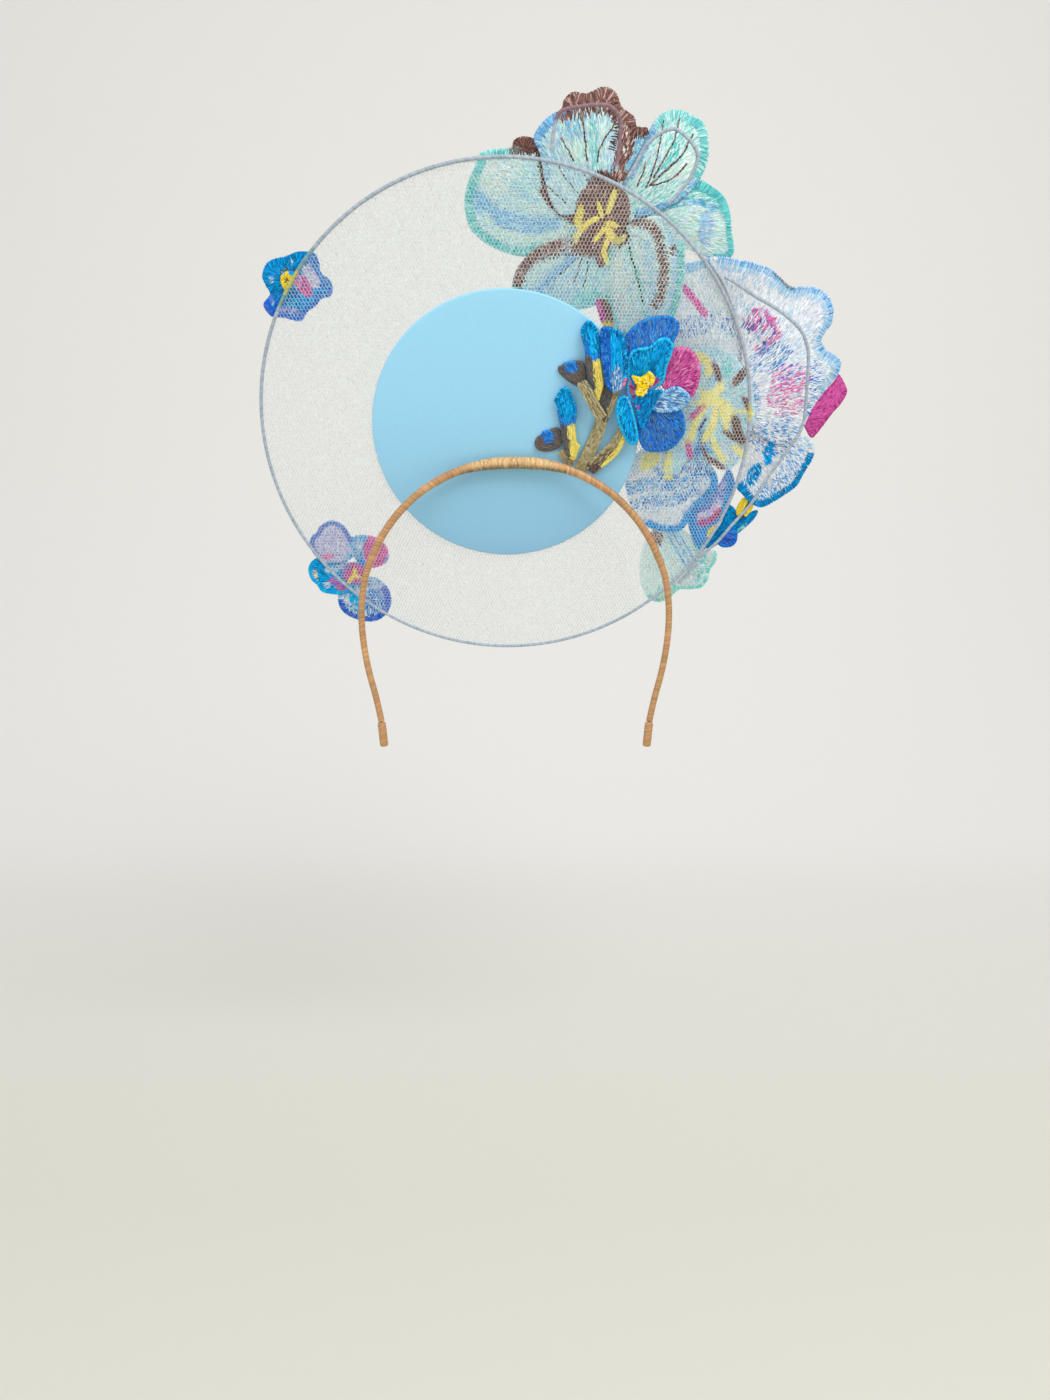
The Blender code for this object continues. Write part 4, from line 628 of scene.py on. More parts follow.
# ---- threads laid over a petal. run: a line of running stitches. satin: stitches across the route.
# teeth: single stitches that reach out from the route to its left, as seen from EYE
Over = namedtuple("Over", "petal kind colours width marks")
OVERS = (
    Over("teal_petal_top", "teeth", "brown umber brown", 8.0, ((618, 113), (612, 109), (603, 108), (590, 109), (578, 113), (568, 113), (560, 116))),
    Over("teal_petal_top", "teeth", "umber brown", 8.0, ((615, 150), (618, 134), (618, 122), (612, 110))),
    Over("teal_petal_top", "teeth", "umber brown umber", 7.0, ((648, 131), (642, 132), (636, 132))),
    Over("teal_petal_left", "teeth", "umber brown", 5.0, ((541, 153), (530, 152), (518, 151), (512, 152))),
    Over("teal_petal_low_left", "teeth", "umber brown russet", 6.0, ((580, 252), (562, 253), (546, 256), (533, 263), (523, 273), (518, 288))),
    Over("teal_petal_low_right", "teeth", "brown umber russet", 8.5, ((634, 222), (649, 227), (656, 236), (659, 249), (662, 268), (660, 288), (655, 305))),
    Over("teal_petal_low_right", "teeth", "brown russet", 8.0, ((655, 305), (663, 288), (666, 268), (662, 248), (659, 233), (651, 224), (634, 220))),
    Over("teal_petal_top", "run", "brown umber", 1.4, ((582, 117), (585, 139), (587, 161))),
    Over("teal_petal_top", "run", "brown umber", 1.4, ((560.6, 137), (567, 148), (574, 161))),
    Over("teal_petal_top", "run", "brown umber", 1.4, ((616, 121), (610, 131), (601, 145), (597, 162))),
    Over("teal_petal_top", "run", "brown umber", 1.2, ((557.6, 163), (562, 173), (572.4, 187), (578, 193))),
    Over("teal_petal_top", "run", "brown umber", 1.2, ((581, 168), (585, 176))),
    Over("teal_petal_top", "run", "brown umber", 1.3, ((546, 185), (556, 194), (566, 203))),
    Over("teal_petal_corner", "run", "brown umber", 1.4, ((663.3, 119.4), (661.3, 135), (656.4, 159), (649.5, 180), (645.5, 188))),
    Over("teal_petal_corner", "run", "brown umber", 1.4, ((680, 117.4), (675, 137), (665, 157), (653.4, 178))),
    Over("teal_petal_corner", "run", "brown umber", 1.4, ((693, 133), (683, 153), (667, 168.8), (649.5, 186))),
    Over("teal_petal_corner", "run", "brown umber", 1.4, ((687, 163), (673, 178), (651.5, 186))),
    Over("teal_petal_corner", "run", "brown umber", 1.3, ((645.6, 161), (641.7, 176), (636.7, 186))),
    Over("teal_petal_low_right", "run", "brown umber", 1.9, ((629, 246), (633, 264), (638.6, 282), (643, 302))),
    Over("teal_petal_low_left", "run", "brown umber", 1.3, ((578.3, 256), (567, 268), (556, 278), (552, 290))),
    Over("teal_petal_low_left", "run", "brown umber", 1.2, ((582.3, 258), (577, 272), (573, 284))),
    Over("teal_petal_low_left", "run", "brown umber", 1.2, ((588, 260), (587, 272), (583, 288))),
    Over("teal_centre", "satin", "soft soft lemon", 6.0, ((615, 190), (613, 198), (610, 206), (607, 213))),
    Over("teal_centre", "satin", "soft soft lemon", 4.6, ((598, 202), (600, 209), (602, 217))),
    Over("teal_centre", "satin", "soft lemon straw", 8.5, ((581, 207), (580, 214), (577.5, 222), (579, 227))),
    Over("teal_centre", "satin", "soft soft lemon", 5.8, ((599, 218), (591, 221), (583, 228), (577, 236), (576, 244))),
    Over("teal_centre", "satin", "soft soft lemon", 4.8, ((605, 228), (600, 234), (594, 241))),
    Over("teal_centre", "satin", "soft soft lemon", 5.8, ((606, 223), (611, 223.5), (617, 227))),
    Over("teal_centre", "satin", "soft soft lemon", 9.0, ((607, 227), (610, 234), (615, 241))),
    Over("teal_centre", "satin", "soft soft lemon", 6.0, ((614, 242), (620, 240), (626, 236))),
    Over("teal_centre", "satin", "soft soft lemon", 5.6, ((608, 238), (605, 247), (604, 253), (608, 265))),
    Over("teal_centre_front", "satin", "stamen soft amber", 4.6, ((610, 195), (607, 205), (603, 213))),
    Over("teal_centre_front", "satin", "stamen soft amber", 4.6, ((592, 203), (597, 210), (600, 214))),
    Over("teal_centre_front", "satin", "stamen soft amber", 4.6, ((585, 216), (594, 215), (602, 218))),
    Over("teal_centre_front", "satin", "stamen soft amber", 4.6, ((602, 218), (610, 224), (617, 222))),
    Over("teal_centre_front", "satin", "stamen soft amber", 4.6, ((602, 218), (600, 230), (603, 240))),
    Over("pale_centre", "satin", "butter soft butter", 10.0, ((696, 354), (704, 359), (710, 367), (706, 375))),
    Over("pale_centre", "satin", "butter soft butter", 10.0, ((702, 392), (710, 396), (718, 390), (722, 383))),
    Over("pale_centre", "satin", "butter soft butter", 11.0, ((698, 403), (712, 401), (722, 404), (729, 411), (728, 421))),
    Over("pale_centre", "satin", "butter soft butter", 3.4, ((733, 414), (740, 411), (748, 412), (754, 415))),
    Over("pale_centre", "satin", "butter soft butter", 8.0, ((706, 406), (696, 420), (691, 437), (686, 443))),
    Over("pale_centre", "satin", "butter soft butter", 8.0, ((716, 408), (713, 424), (707, 433), (703, 441))),
    Over("pale_centre", "satin", "butter soft butter", 6.0, ((720, 410), (725, 422), (726, 432))),
    Over("pale_centre", "satin", "butter soft butter", 7.0, ((712, 436), (716, 448), (724, 461))),
    Over("pale_centre", "satin", "butter soft butter", 7.5, ((734, 446), (741, 453), (744, 459))),
    Over("pale_centre", "satin", "brown umber russet", 7.0, ((713, 363), (717, 371), (719, 381))),
    Over("pale_centre", "satin", "brown umber russet", 9.0, ((733, 384), (740, 376), (747, 368))),
    Over("pale_centre", "satin", "brown umber russet", 6.0, ((743, 397), (747, 403), (748, 410))),
    Over("pale_centre", "satin", "brown umber russet", 10.0, ((735, 416), (737, 430), (743, 444))),
    Over("pale_centre", "satin", "brown umber russet", 6.0, ((724, 430), (732, 437), (738, 440))),
    Over("pale_centre", "satin", "brown umber russet", 4.0, ((702, 446), (706, 456), (714, 462))),
    Over("pale_centre", "satin", "brown umber russet", 7.0, ((708, 458), (716, 463), (723, 469))),
    Over("pale_centre", "satin", "magenta pink wine", 6.5, ((690, 419), (697, 412), (704, 406))),
    Over("pale_centre", "satin", "magenta pink magenta", 7.0, ((688, 443), (689, 450), (690, 458))),
    Over("pale_centre", "satin", "navy bark steel", 4.0, ((699, 430), (702, 424), (706, 418))),
    Over("left_heart", "satin", "soft lemon", 4.6, ((355, 569), (354, 575), (348, 583))),
    Over("left_heart", "satin", "soft lemon", 4.2, ((353, 575), (360, 577))),
    Over("low_petal_violet", "satin", "stamen lemon", 3.0, ((707, 536), (711, 531), (716, 526))),
)


# ---------------------------------------------------------------- frames and sight lines
RIGHT = np.array((1.0, 0.0, 0.0))
UP_PLANE = np.array((0.0, -math.sin(LEAN), math.cos(LEAN)))
BACK = np.cross(RIGHT, UP_PLANE)
AXES = np.array((RIGHT, UP_PLANE, BACK))
AHEAD = np.array((0.0, math.cos(EYE_DOWN), -math.sin(EYE_DOWN)))
ABOVE = np.array((0.0, math.sin(EYE_DOWN), math.cos(EYE_DOWN)))


def sight(marks):
    marks = np.atleast_2d(np.asarray(marks, float))
    return (AHEAD * EYE_FOCAL + ABOVE * (EYE_MIDDLE[1] - marks[:, 1:2]) + RIGHT * (marks[:, 0:1] - EYE_MIDDLE[0]))


def seen_on_band(marks):
    ray = sight(marks)
    return EYE + ray * (-EYE[1] / ray[:, 1:2])


def seen_on_halo(marks, height):
    """Where sight lines meet the surface back = height(across, up): rows of (across, up)."""
    start = AXES @ (EYE - HALO_AT)
    ray = sight(marks) @ AXES.T
    place = np.zeros((len(ray), 2))
    for _ in range(8):
        along = (height(place) - start[2]) / ray[:, 2]
        place = start[:2] + ray[:, :2] * along[:, None]
    return place


def from_halo(local):
    return local @ AXES + HALO_AT


def marks_of(local):
    """Places of the halo's frame as they are seen from EYE."""
    return marks_at(from_halo(local))


def marks_at(world):
    way = world - EYE
    ahead = way @ AHEAD
    return np.stack((EYE_MIDDLE[0] + EYE_FOCAL * (way @ RIGHT) / ahead,
                     EYE_MIDDLE[1] - EYE_FOCAL * (way @ ABOVE) / ahead), axis=1)


def cup_rise(cups, place):
    rise = np.zeros(len(place))
    for cup in cups:
        far = ((place[:, 0] / MM - cup.across) ** 2 + (place[:, 1] / MM - cup.up) ** 2) / cup.reach ** 2
        rise += cup.depth * MM * far * np.exp(1.0 - far)
    return rise


def layer_height(side, layer):
    def height(place):
        if side > 0:
            return BACK_LAYER_0 + layer * LAYER + cup_rise(BACK_CUPS, place)
        beyond = np.maximum(np.hypot(*(place - HALO_CENTRE).T) - RIM_RADIUS, 0.0)
        return FRONT_LAYER_0 - layer * LAYER - cup_rise(FRONT_CUPS, place) - RIM_CURL * (beyond / RIM_CURL_REACH) ** 2

    return height


def rumple(side, place):
    """Soft unevenness of the embroidered cloth, shared by all the layers of a side."""
    x, y = place[:, 0] / MM, place[:, 1] / MM
    wave = np.sin(x * 0.23 + 1.3 * np.sin(y * 0.11)) + np.sin(y * 0.27 + 1.1 * np.sin(x * 0.13 + 2.0))
    return side * 0.22 * MM * wave


# ---------------------------------------------------------------- lines and outlines
def through(points, steps, closed):
    p = np.asarray(points, float)
    count = len(p)
    index = np.arange(count if closed else count - 1)
    quad = [p[(index + j) % count] if closed else p[np.clip(index + j, 0, count - 1)] for j in (-1, 0, 1, 2)]
    q0, q1, q2, q3 = (q[:, None, :] for q in quad)
    t = (np.arange(steps) / steps)[None, :, None]
    curve = 0.5 * (2 * q1 + (q2 - q0) * t + (2 * q0 - 5 * q1 + 4 * q2 - q3) * t * t + (3 * q1 - q0 - 3 * q2 + q3) * t ** 3)
    curve = curve.reshape(-1, p.shape[1])
    return curve if closed else np.vstack((curve, p[-1:]))


def even(points, spacing, closed):
    """The same line with places at an even spacing."""
    if closed:
        points = np.vstack((points, points[:1]))
    run = np.concatenate(([0.0], np.cumsum(np.linalg.norm(np.diff(points, axis=0), axis=1))))
    count = max(int(round(run[-1] / spacing)), 3 if closed else 1)
    at = np.linspace(0.0, run[-1], count + 1)
    if closed:
        at = at[:-1]
    return np.stack([np.interp(at, run, points[:, k]) for k in range(points.shape[1])], axis=1)


def inside(places, outline):
    x, y = places[:, 0:1], places[:, 1:2]
    x0, y0 = outline.T
    x1, y1 = np.roll(outline, -1, axis=0).T
    crossing = ((y0 > y) != (y1 > y)) & (x < (x1 - x0) * (y - y0) / (y1 - y0 + 1e-30) + x0)
    return crossing.sum(axis=1) % 2 == 1


def gap_to(places, route, closed=False):
    start = route if closed else route[:-1]
    run = (np.roll(route, -1, axis=0) if closed else route[1:]) - start
    t = np.clip(((places[:, None] - start) * run).sum(axis=2) / ((run ** 2).sum(axis=1) + 1e-30), 0.0, 1.0)
    return np.sqrt(((places[:, None] - start - run * t[..., None]) ** 2).sum(axis=2).min(axis=1))


def turned_left(way):
    return np.stack((-way[:, 1], way[:, 0]), axis=1)


def unit(way):
    return way / (np.linalg.norm(way, axis=-1, keepdims=True) + 1e-12)


def outline_area(outline):
    x, y = outline.T
    return 0.5 * float(np.sum(x * np.roll(y, -1) - y * np.roll(x, -1)))


# ---------------------------------------------------------------- colour
def linear(colour):
    c = np.asarray(colour, float) / 255.0
    return np.where(c <= 0.04045, c / 12.92, ((c + 0.055) / 1.055) ** 2.4)


LINEAR = {name: linear(colour) for name, colour in COLOURS.items()}


def choose(colours, count, rng):
    table = np.array([LINEAR[name] for name in colours.split()])
    return table[rng.integers(0, len(table), count)]


def painted(name, marks, edge, rng):
    """Thread colours at places of a petal; edge is how far each is from the outline, in view units."""
    out = np.zeros((len(marks), 3))
    for row in PAINT[name]:
        if row.kind == "all":
            hit = np.ones(len(marks), bool)
        elif row.kind == "rim":
            hit = edge < row.size * rng.uniform(0.92, 1.08, len(marks))
        elif row.kind == "line":
            hit = gap_to(marks, through(row.route, 5, False)) < row.size / 2 * rng.uniform(0.75, 1.22, len(marks))
        else:
            x, y, half_width, half_height, tilt = row.route
            turn = math.radians(tilt)
            dx, dy = marks[:, 0] - x, marks[:, 1] - y
            along = dx * math.cos(turn) + dy * math.sin(turn)
            over = dy * math.cos(turn) - dx * math.sin(turn)
            hit = (along / half_width) ** 2 + (over / half_height) ** 2 < rng.uniform(0.8, 1.2, len(marks))
        hit &= rng.random(len(marks)) < row.share
        out[hit] = choose(row.colours, int(hit.sum()), rng)
    return out


def uneven(colours, rng, spread=0.12):
    return np.clip(colours * np.exp(rng.normal(0.0, spread, (len(colours), 1))), 0.0, 1.0)


# ---------------------------------------------------------------- meshes
def mesh_object(name, verts, tris, material, colours=None, uvs=None):
    """An object from places and triangles; colours are per place, uvs per triangle corner."""
    mesh = bpy.data.meshes.new(name)
    mesh.vertices.add(len(verts))
    mesh.vertices.foreach_set("co", np.ascontiguousarray(verts, np.float32).ravel())
    mesh.loops.add(3 * len(tris))
    mesh.loops.foreach_set("vertex_index", np.ascontiguousarray(tris, np.int32).ravel())
    mesh.polygons.add(len(tris))
    mesh.polygons.foreach_set("loop_start", np.arange(0, 3 * len(tris), 3, dtype=np.int32))
    mesh.update(calc_edges=True)
    mesh.shade_smooth()
    if colours is not None:
        layer = mesh.color_attributes.new("Thread", "FLOAT_COLOR", "POINT")
        layer.data.foreach_set("color", np.hstack((colours, np.ones((len(colours), 1)))).astype(np.float32).ravel())
    if uvs is not None:
        mesh.uv_layers.new(name="OFBake").data.foreach_set("uv", uvs.astype(np.float32).ravel())
    mesh.materials.append(material)
    obj = bpy.data.objects.new(name, mesh)
    bpy.context.scene.collection.objects.link(obj)
    return obj


def grid_tris(rows, columns, closed):
    """Triangles of a grid of places; closed joins its last column to its first."""
    i = np.arange(rows - 1)[:, None]
    j = np.arange(columns if closed else columns - 1)[None, :]
    k = (j + 1) % columns
    a, b, c, d = i * columns + j, i * columns + k, (i + 1) * columns + k, (i + 1) * columns + j
    return np.concatenate((np.stack((a, b, c), axis=2).reshape(-1, 3), np.stack((a, c, d), axis=2).reshape(-1, 3)))


FILL_TRIS = np.array(((0, 2, 1), (1, 2, 4), (1, 4, 3), (3, 4, 5)))
FILL_UV = np.array(((0, 0.5), (0.2, 1), (0.2, 0), (0.8, 1), (0.8, 0), (1, 0.5)))
EDGE_TRIS = np.array(((0, 3, 2), (0, 2, 1), (2, 3, 6), (2, 6, 5), (1, 2, 5), (1, 5, 4), (5, 6, 9), (5, 9, 8),
                      (4, 5, 8), (4, 8, 7), (9, 10, 8), (8, 10, 7)))
EDGE_UV = np.array(((0, 0.5), (0.2, 1), (0.2, 0.5), (0.2, 0), (0.5, 1), (0.5, 0.5), (0.5, 0), (0.8, 1), (0.8, 0.5),
                    (0.8, 0), (1, 0.5)))


class Threads:
    """The stitches of one piece. Each keeps one colour and has a cell of its own in the UV map."""

    def __init__(self):
        self.verts, self.tris, self.colours, self.uvs = [], [], [], []
        self.count = self.stitches = 0

    def add(self, places, tris, uv, colours):
        count, corners = places.shape[:2]
        if not count:
            return
        self.verts.append(places.reshape(-1, 3))
        self.tris.append((tris[None] + (self.count + corners * np.arange(count))[:, None, None]).reshape(-1, 3))
        self.colours.append(np.repeat(colours, corners, axis=0))
        self.uvs.append((np.broadcast_to(uv[tris], (count, *tris.shape, 2)), self.stitches + np.arange(count)))
        self.count += count * corners
        self.stitches += count

    def build(self, name, material):
        side = math.ceil(math.sqrt(self.stitches))
        uvs = []
        for uv, cell in self.uvs:
            corner = np.stack((cell % side, cell // side), axis=1)[:, None, None, :]
            uvs.append(((corner + 0.08 + 0.84 * uv) / side).reshape(-1, 2))
        return mesh_object(name, np.vstack(self.verts), np.vstack(self.tris), material,
                           np.vstack(self.colours), np.vstack(uvs))


def laid(threads, start, end, face, height, side, lift, width, rng, colours):
    """Flat stitches from start to end on one face (+1 back, -1 front) of a layer, each rolled a little."""
    way = unit(end - start)
    left = turned_left(way) * np.asarray(width).reshape(-1, 1) / 2
    roll = rng.normal(0.0, 0.06 * MM, len(start))
    places = []
    for part, shifts in ((0.0, (0,)), (0.2, (1, -1)), (0.8, (1, -1)), (1.0, (0,))):
        station = start + (end - start) * part
        level = height(station) + rumple(side, station) + face * (CLOTH_HALF + lift)
        for shift in shifts:
            sunk = 0.0 if shift else 0.05 * MM
            places.append(np.column_stack((station + left * shift, level + shift * roll - face * sunk)))
    tris = FILL_TRIS if face > 0 else FILL_TRIS[:, ::-1]
    threads.add(from_halo(np.stack(places, axis=1)), tris, FILL_UV, colours)


def halo_outline(marks, height, closed=True):
    place = seen_on_halo(through(marks, 8, closed), height)
    if closed and outline_area(place) < 0:
        place = place[::-1]
    return place


def cloth(name, outline, middle, side, height, material, colours_at):
    """A thin closed shell inside an outline."""
    outline = even(outline, CLOTH_PITCH, True)
    inward = turned_left(unit(np.roll(outline, -1, axis=0) - np.roll(outline, 1, axis=0)))
    outline = outline + inward * 0.22 * MM
    reach = np.linalg.norm(outline - middle, axis=1).max()
    rings = max(int(math.ceil(reach / (2.0 * MM))), 2)
    parts = np.arange(1, rings + 1) / rings
    flat = (middle + (outline - middle) * parts[:, None, None]).reshape(-1, 2)
    flat = np.vstack((middle[None], flat))
    level = height(flat) + rumple(side, flat)
    n, m = len(outline), len(flat)
    upper = np.column_stack((flat, level + CLOTH_HALF))
    lower = np.column_stack((flat, level - CLOTH_HALF))
    grid = grid_tris(rings, n, True) + 1
    fan = np.stack((np.zeros(n, int), 1 + np.arange(n), 1 + (np.arange(n) + 1) % n), axis=1)
    top = np.vstack((fan, grid[:, ::-1]))
    last = 1 + (rings - 1) * n + np.arange(n)
    after = np.roll(last, -1)
    wall = np.vstack((np.stack((last, last + m, after + m), axis=1), np.stack((last, after + m, after), axis=1)))
    verts = from_halo(np.vstack((upper, lower)))
    tris = np.vstack((top, top[:, ::-1] + m, wall))
    colours = colours_at(flat)
    obj = mesh_object(name, verts, tris, material, np.vstack((colours, colours)))
    obj.data.set_sharp_from_angle(angle=math.radians(50))
    return obj


def sewn(obj, threads_obj, node, outline):
    """Attaches a cloth piece and its threads to the root and hides the part they stand for."""
    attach(obj, "root")
    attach(threads_obj, "root")
    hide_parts(node)
    # no side is written under 10 mm, so a smaller piece's box is given larger than it is; the area is the true one
    abs(outline_area(outline))


def petal(row, rng, material):
    height = layer_height(row.side, row.layer)
    outline = halo_outline(row.marks, height)
    middle = seen_on_halo(row.middle, height)[0]
    root = seen_on_halo(row.root, height)[0]

    # painted light: front cloth inside the rim, behind the net, is painted 16% lighter to make up for the shadow the
    # net casts on it
    def painted_light_behind_net(places, colours):
        under = (row.side < 0) & (np.hypot(*(places - HALO_CENTRE).T) < RIM_RADIUS)
        return np.clip(colours * np.where(under, 1.16, 1.0)[:, None], 0.0, 0.96)

    def colours_at(flat):
        edge = gap_to(flat, outline, True) / VIEW_UNIT
        # painted shade: the cloth between the stitches is painted darker than the threads, for the shade in the gaps
        # between them
        return painted(row.name, marks_of(np.column_stack((flat, height(flat)))), edge, rng) * (0.85 if row.side < 0 else 0.62)

    obj = cloth(row.name + "_cloth", outline, middle, row.side, height, material, colours_at)
    threads = Threads()
    # fill
    low, high = outline.min(axis=0), outline.max(axis=0)
    for face in (1, -1):
        pitch = FILL_PITCH[face]
        grid = np.stack(np.meshgrid(np.arange(low[0], high[0], pitch), np.arange(low[1], high[1], pitch)), axis=-1)
        grid = grid.reshape(-1, 2)
        spots = grid + rng.uniform(-0.55, 0.55, grid.shape) * pitch
        spots = spots[inside(spots, outline)]
        edge = gap_to(spots, outline, True)
        spots, edge = spots[edge > 0.45 * MM], edge[edge > 0.45 * MM]
        way = unit(spots - root)
        turn = rng.normal(0.0, 0.13, len(spots)) + 0.12 * np.sin(spots[:, 0] / MM * 0.2)
        way = np.stack((way[:, 0] * np.cos(turn) - way[:, 1] * np.sin(turn),
                        way[:, 0] * np.sin(turn) + way[:, 1] * np.cos(turn)), axis=1)
        half = np.minimum(rng.uniform(*FILL_LENGTH[face], len(spots)) / 2, edge * 1.5)
        edge_units = edge / VIEW_UNIT
        marks = marks_of(np.column_stack((spots, height(spots))))
        laid(threads, spots - way * half[:, None], spots + way * half[:, None], face, height, row.side,
             rng.uniform(0.0, 1.0, len(spots)) * FILL_LIFT, FILL_WIDTH, rng,
             uneven(painted_light_behind_net(spots, painted(row.name, marks, edge_units, rng)), rng))
    rims = [rim_row for rim_row in RIMS if rim_row.petal == row.name]
    for rim_row in rims:
        rim_stitches(threads, rim_row, outline, height, row.side, rng)
    # satin edge over the rim
    ring = even(outline, EDGE_PITCH, True)
    ahead = unit(np.roll(ring, -1, axis=0) - np.roll(ring, 1, axis=0))
    inward = turned_left(ahead)
    cord, width = CORDS.get(row.name, (None, 3.4))
    depth = width * VIEW_UNIT * rng.uniform(0.75, 1.25, len(ring))
    slant = rng.normal(0.0, 0.25 * MM, len(ring))
    inner = ring + inward * depth[:, None] + ahead * slant[:, None]
    probe = ring + inward * 0.9 * MM
    marks = marks_of(np.column_stack((probe, height(probe))))
    tints = choose(cord, len(ring), rng) if cord else painted(row.name, marks, np.full(len(ring), 1.7), rng)
    for rim_row in rims:
        hit = beside(ring, rim_row, height)
        tints[hit] = choose(rim_row.colours, int(hit.sum()), rng)
    tints = painted_light_behind_net(ring, tints)
    lateral = ahead * EDGE_WIDTH / 2
    base = height(ring) + rumple(row.side, ring)
    end = height(inner) + rumple(row.side, inner)
    shoulder = ring + inward * 0.55 * MM
    places = [np.column_stack((inner, end + CLOTH_HALF + 0.12 * MM))]
    ridge = 0.46 if row.name in CORDS else 0.27
    for shift, rise in ((-1, ridge - 0.15), (0, ridge), (1, ridge - 0.15)):
        places.append(np.column_stack((shoulder + lateral * shift, base + CLOTH_HALF + rise * MM)))
    for shift, out in ((-1, 0.02), (0, 0.14), (1, 0.02)):
        places.append(np.column_stack((ring - inward * out * MM + lateral * shift, base)))
    for shift, rise in ((-1, 0.10), (0, 0.27), (1, 0.10)):
        places.append(np.column_stack((shoulder + lateral * shift, base - CLOTH_HALF - rise * MM)))
    places.append(np.column_stack((inner, end - CLOTH_HALF - 0.12 * MM)))
    threads.add(from_halo(np.stack(places, axis=1)), EDGE_TRIS[:, ::-1], EDGE_UV, uneven(tints, rng, 0.08))
    # threads over the fill
    for over in OVERS:
        if over.petal == row.name:
            laid_over(threads, over, height, row.side, rng)
    if row.name == "freesia_stamens":
        beads(threads, outline, height, row.side, rng)
    threads_obj = threads.build(row.name + "_threads", material)
    sewn(obj, threads_obj, row.name, outline)


def beside(ring, rim_row, height):
    """Which places of an outline the satin rim runs along."""
    if not rim_row.route:
        return np.ones(len(ring), bool)
    marks = marks_of(np.column_stack((ring, height(ring))))
    return gap_to(marks, through(rim_row.route, 5, False)) < 3.5


def rim_stitches(threads, rim_row, outline, height, side, rng):
    ring = even(outline, 0.38 * MM, True)
    ahead = unit(np.roll(ring, -1, axis=0) - np.roll(ring, 1, axis=0))
    hit = beside(ring, rim_row, height)
    ring, ahead = ring[hit], ahead[hit]
    inward = turned_left(ahead)
    depth = rim_row.width * VIEW_UNIT * rng.uniform(0.86, 1.1, len(ring))
    slant = rng.normal(0.12, 0.10, len(ring)) * depth
    for face in (1, -1):
        laid(threads, ring + inward * 0.2 * MM, ring + inward * depth[:, None] + ahead * slant[:, None], face, height, side,
             rng.uniform(0.16, 0.22, len(ring)) * MM, 0.48 * MM, rng,
             uneven(choose(rim_row.colours, len(ring), rng), rng, 0.10))


def laid_over(threads, over, height, side, rng):
    route = seen_on_halo(through(over.marks, 8, False), height)
    width = over.width * VIEW_UNIT
    for face in (1, -1):
        if over.kind == "run":
            places = even(route, 1.7 * MM, False)
            shift = turned_left(unit(np.gradient(places, axis=0))) * rng.normal(0.0, 0.16 * MM, (len(places), 1))
            places = places + shift
            start, end = places[:-1], places[1:]
            laid(threads, start, end + (end - start) * 0.10, face, height, side, 0.24 * MM,
                 width * rng.uniform(0.75, 1.25, len(start)), rng, uneven(choose(over.colours, len(start), rng), rng, 0.25))
        elif over.kind == "teeth":
            places = even(route, 0.8 * MM, False)
            ahead = unit(np.gradient(places, axis=0))
            across = turned_left(ahead)
            places = places + ahead * rng.uniform(-0.3, 0.3, (len(places), 1)) * MM
            reach = width * rng.uniform(0.3, 1.0, (len(places), 1))
            end = places + across * reach + ahead * rng.normal(0.0, 0.22, (len(places), 1)) * reach
            laid(threads, places - across * 0.5 * MM, end, face, height, side, 0.21 * MM, 0.5 * MM, rng,
                 uneven(choose(over.colours, len(places), rng), rng, 0.15))
        else:  # satin stitches across the route
            places = even(route, 0.36 * MM, False)
            ahead = unit(np.gradient(places, axis=0))
            across = turned_left(ahead)
            run = np.linspace(0.0, 1.0, len(places))
            taper = np.sqrt(np.clip(np.minimum(run, 1.0 - run) * 8.0, 0.15, 1.0))
            half = (width / 2 * taper * rng.uniform(0.8, 1.15, len(run)))[:, None]
            slant = ahead * half * 0.35
            laid(threads, places - across * half - slant, places + across * half + slant, face, height, side,
                 0.22 * MM + rng.uniform(0, 0.05, len(run)) * MM, 0.46 * MM, rng,
                 uneven(choose(over.colours, len(run), rng), rng, 0.10))


def ball(radius, rings=5, sides=8):
    """Places and triangles of a small bead with its pole along the third axis."""
    phi = np.linspace(0.0, math.pi, rings + 1)[1:-1]
    theta = np.arange(sides) * math.tau / sides
    body = np.stack([np.outer(np.sin(phi), np.cos(theta)), np.outer(np.sin(phi), np.sin(theta)),
                     np.outer(np.cos(phi), np.ones(sides))], axis=-1).reshape(-1, 3)
    verts = np.vstack(((0.0, 0.0, 1.0), body, (0.0, 0.0, -1.0))) * radius
    tris = [(0, 1 + j, 1 + (j + 1) % sides) for j in range(sides)]
    for i in range(rings - 2):
        for j in range(sides):
            a, b = 1 + i * sides + j, 1 + i * sides + (j + 1) % sides
            tris += [(a, a + sides, b + sides), (a, b + sides, b)]
    base = 1 + (rings - 2) * sides
    tris += [(base + j, len(verts) - 1, base + (j + 1) % sides) for j in range(sides)]
    return verts, np.array(tris)


def beads(threads, outline, height, side, rng):
    """Round knots of bright thread, heaped on the stamens."""
    low, high = outline.min(axis=0), outline.max(axis=0)
    grid = np.stack(np.meshgrid(np.arange(low[0], high[0], 1.15 * MM), np.arange(low[1], high[1], 1.15 * MM)), axis=-1)
    spots = grid.reshape(-1, 2) + rng.uniform(-0.4, 0.4, (grid.size // 2, 2)) * MM
    spots = spots[inside(spots, outline)]
    verts, tris = ball(0.85 * MM)
    uv = np.column_stack((0.5 + verts[:, 0] / (2.2 * 0.85 * MM), 0.5 + verts[:, 1] / (2.2 * 0.85 * MM)))
    centre = np.column_stack((spots, height(spots) + rumple(side, spots) + CLOTH_HALF + rng.uniform(0.3, 0.8, len(spots)) * MM))
    places = verts[None] * rng.uniform(0.8, 1.15, (len(spots), 1, 1)) + centre[:, None]
    threads.add(from_halo(places), tris, uv, uneven(choose("stamen stamen lemon", len(spots), rng), rng, 0.05))


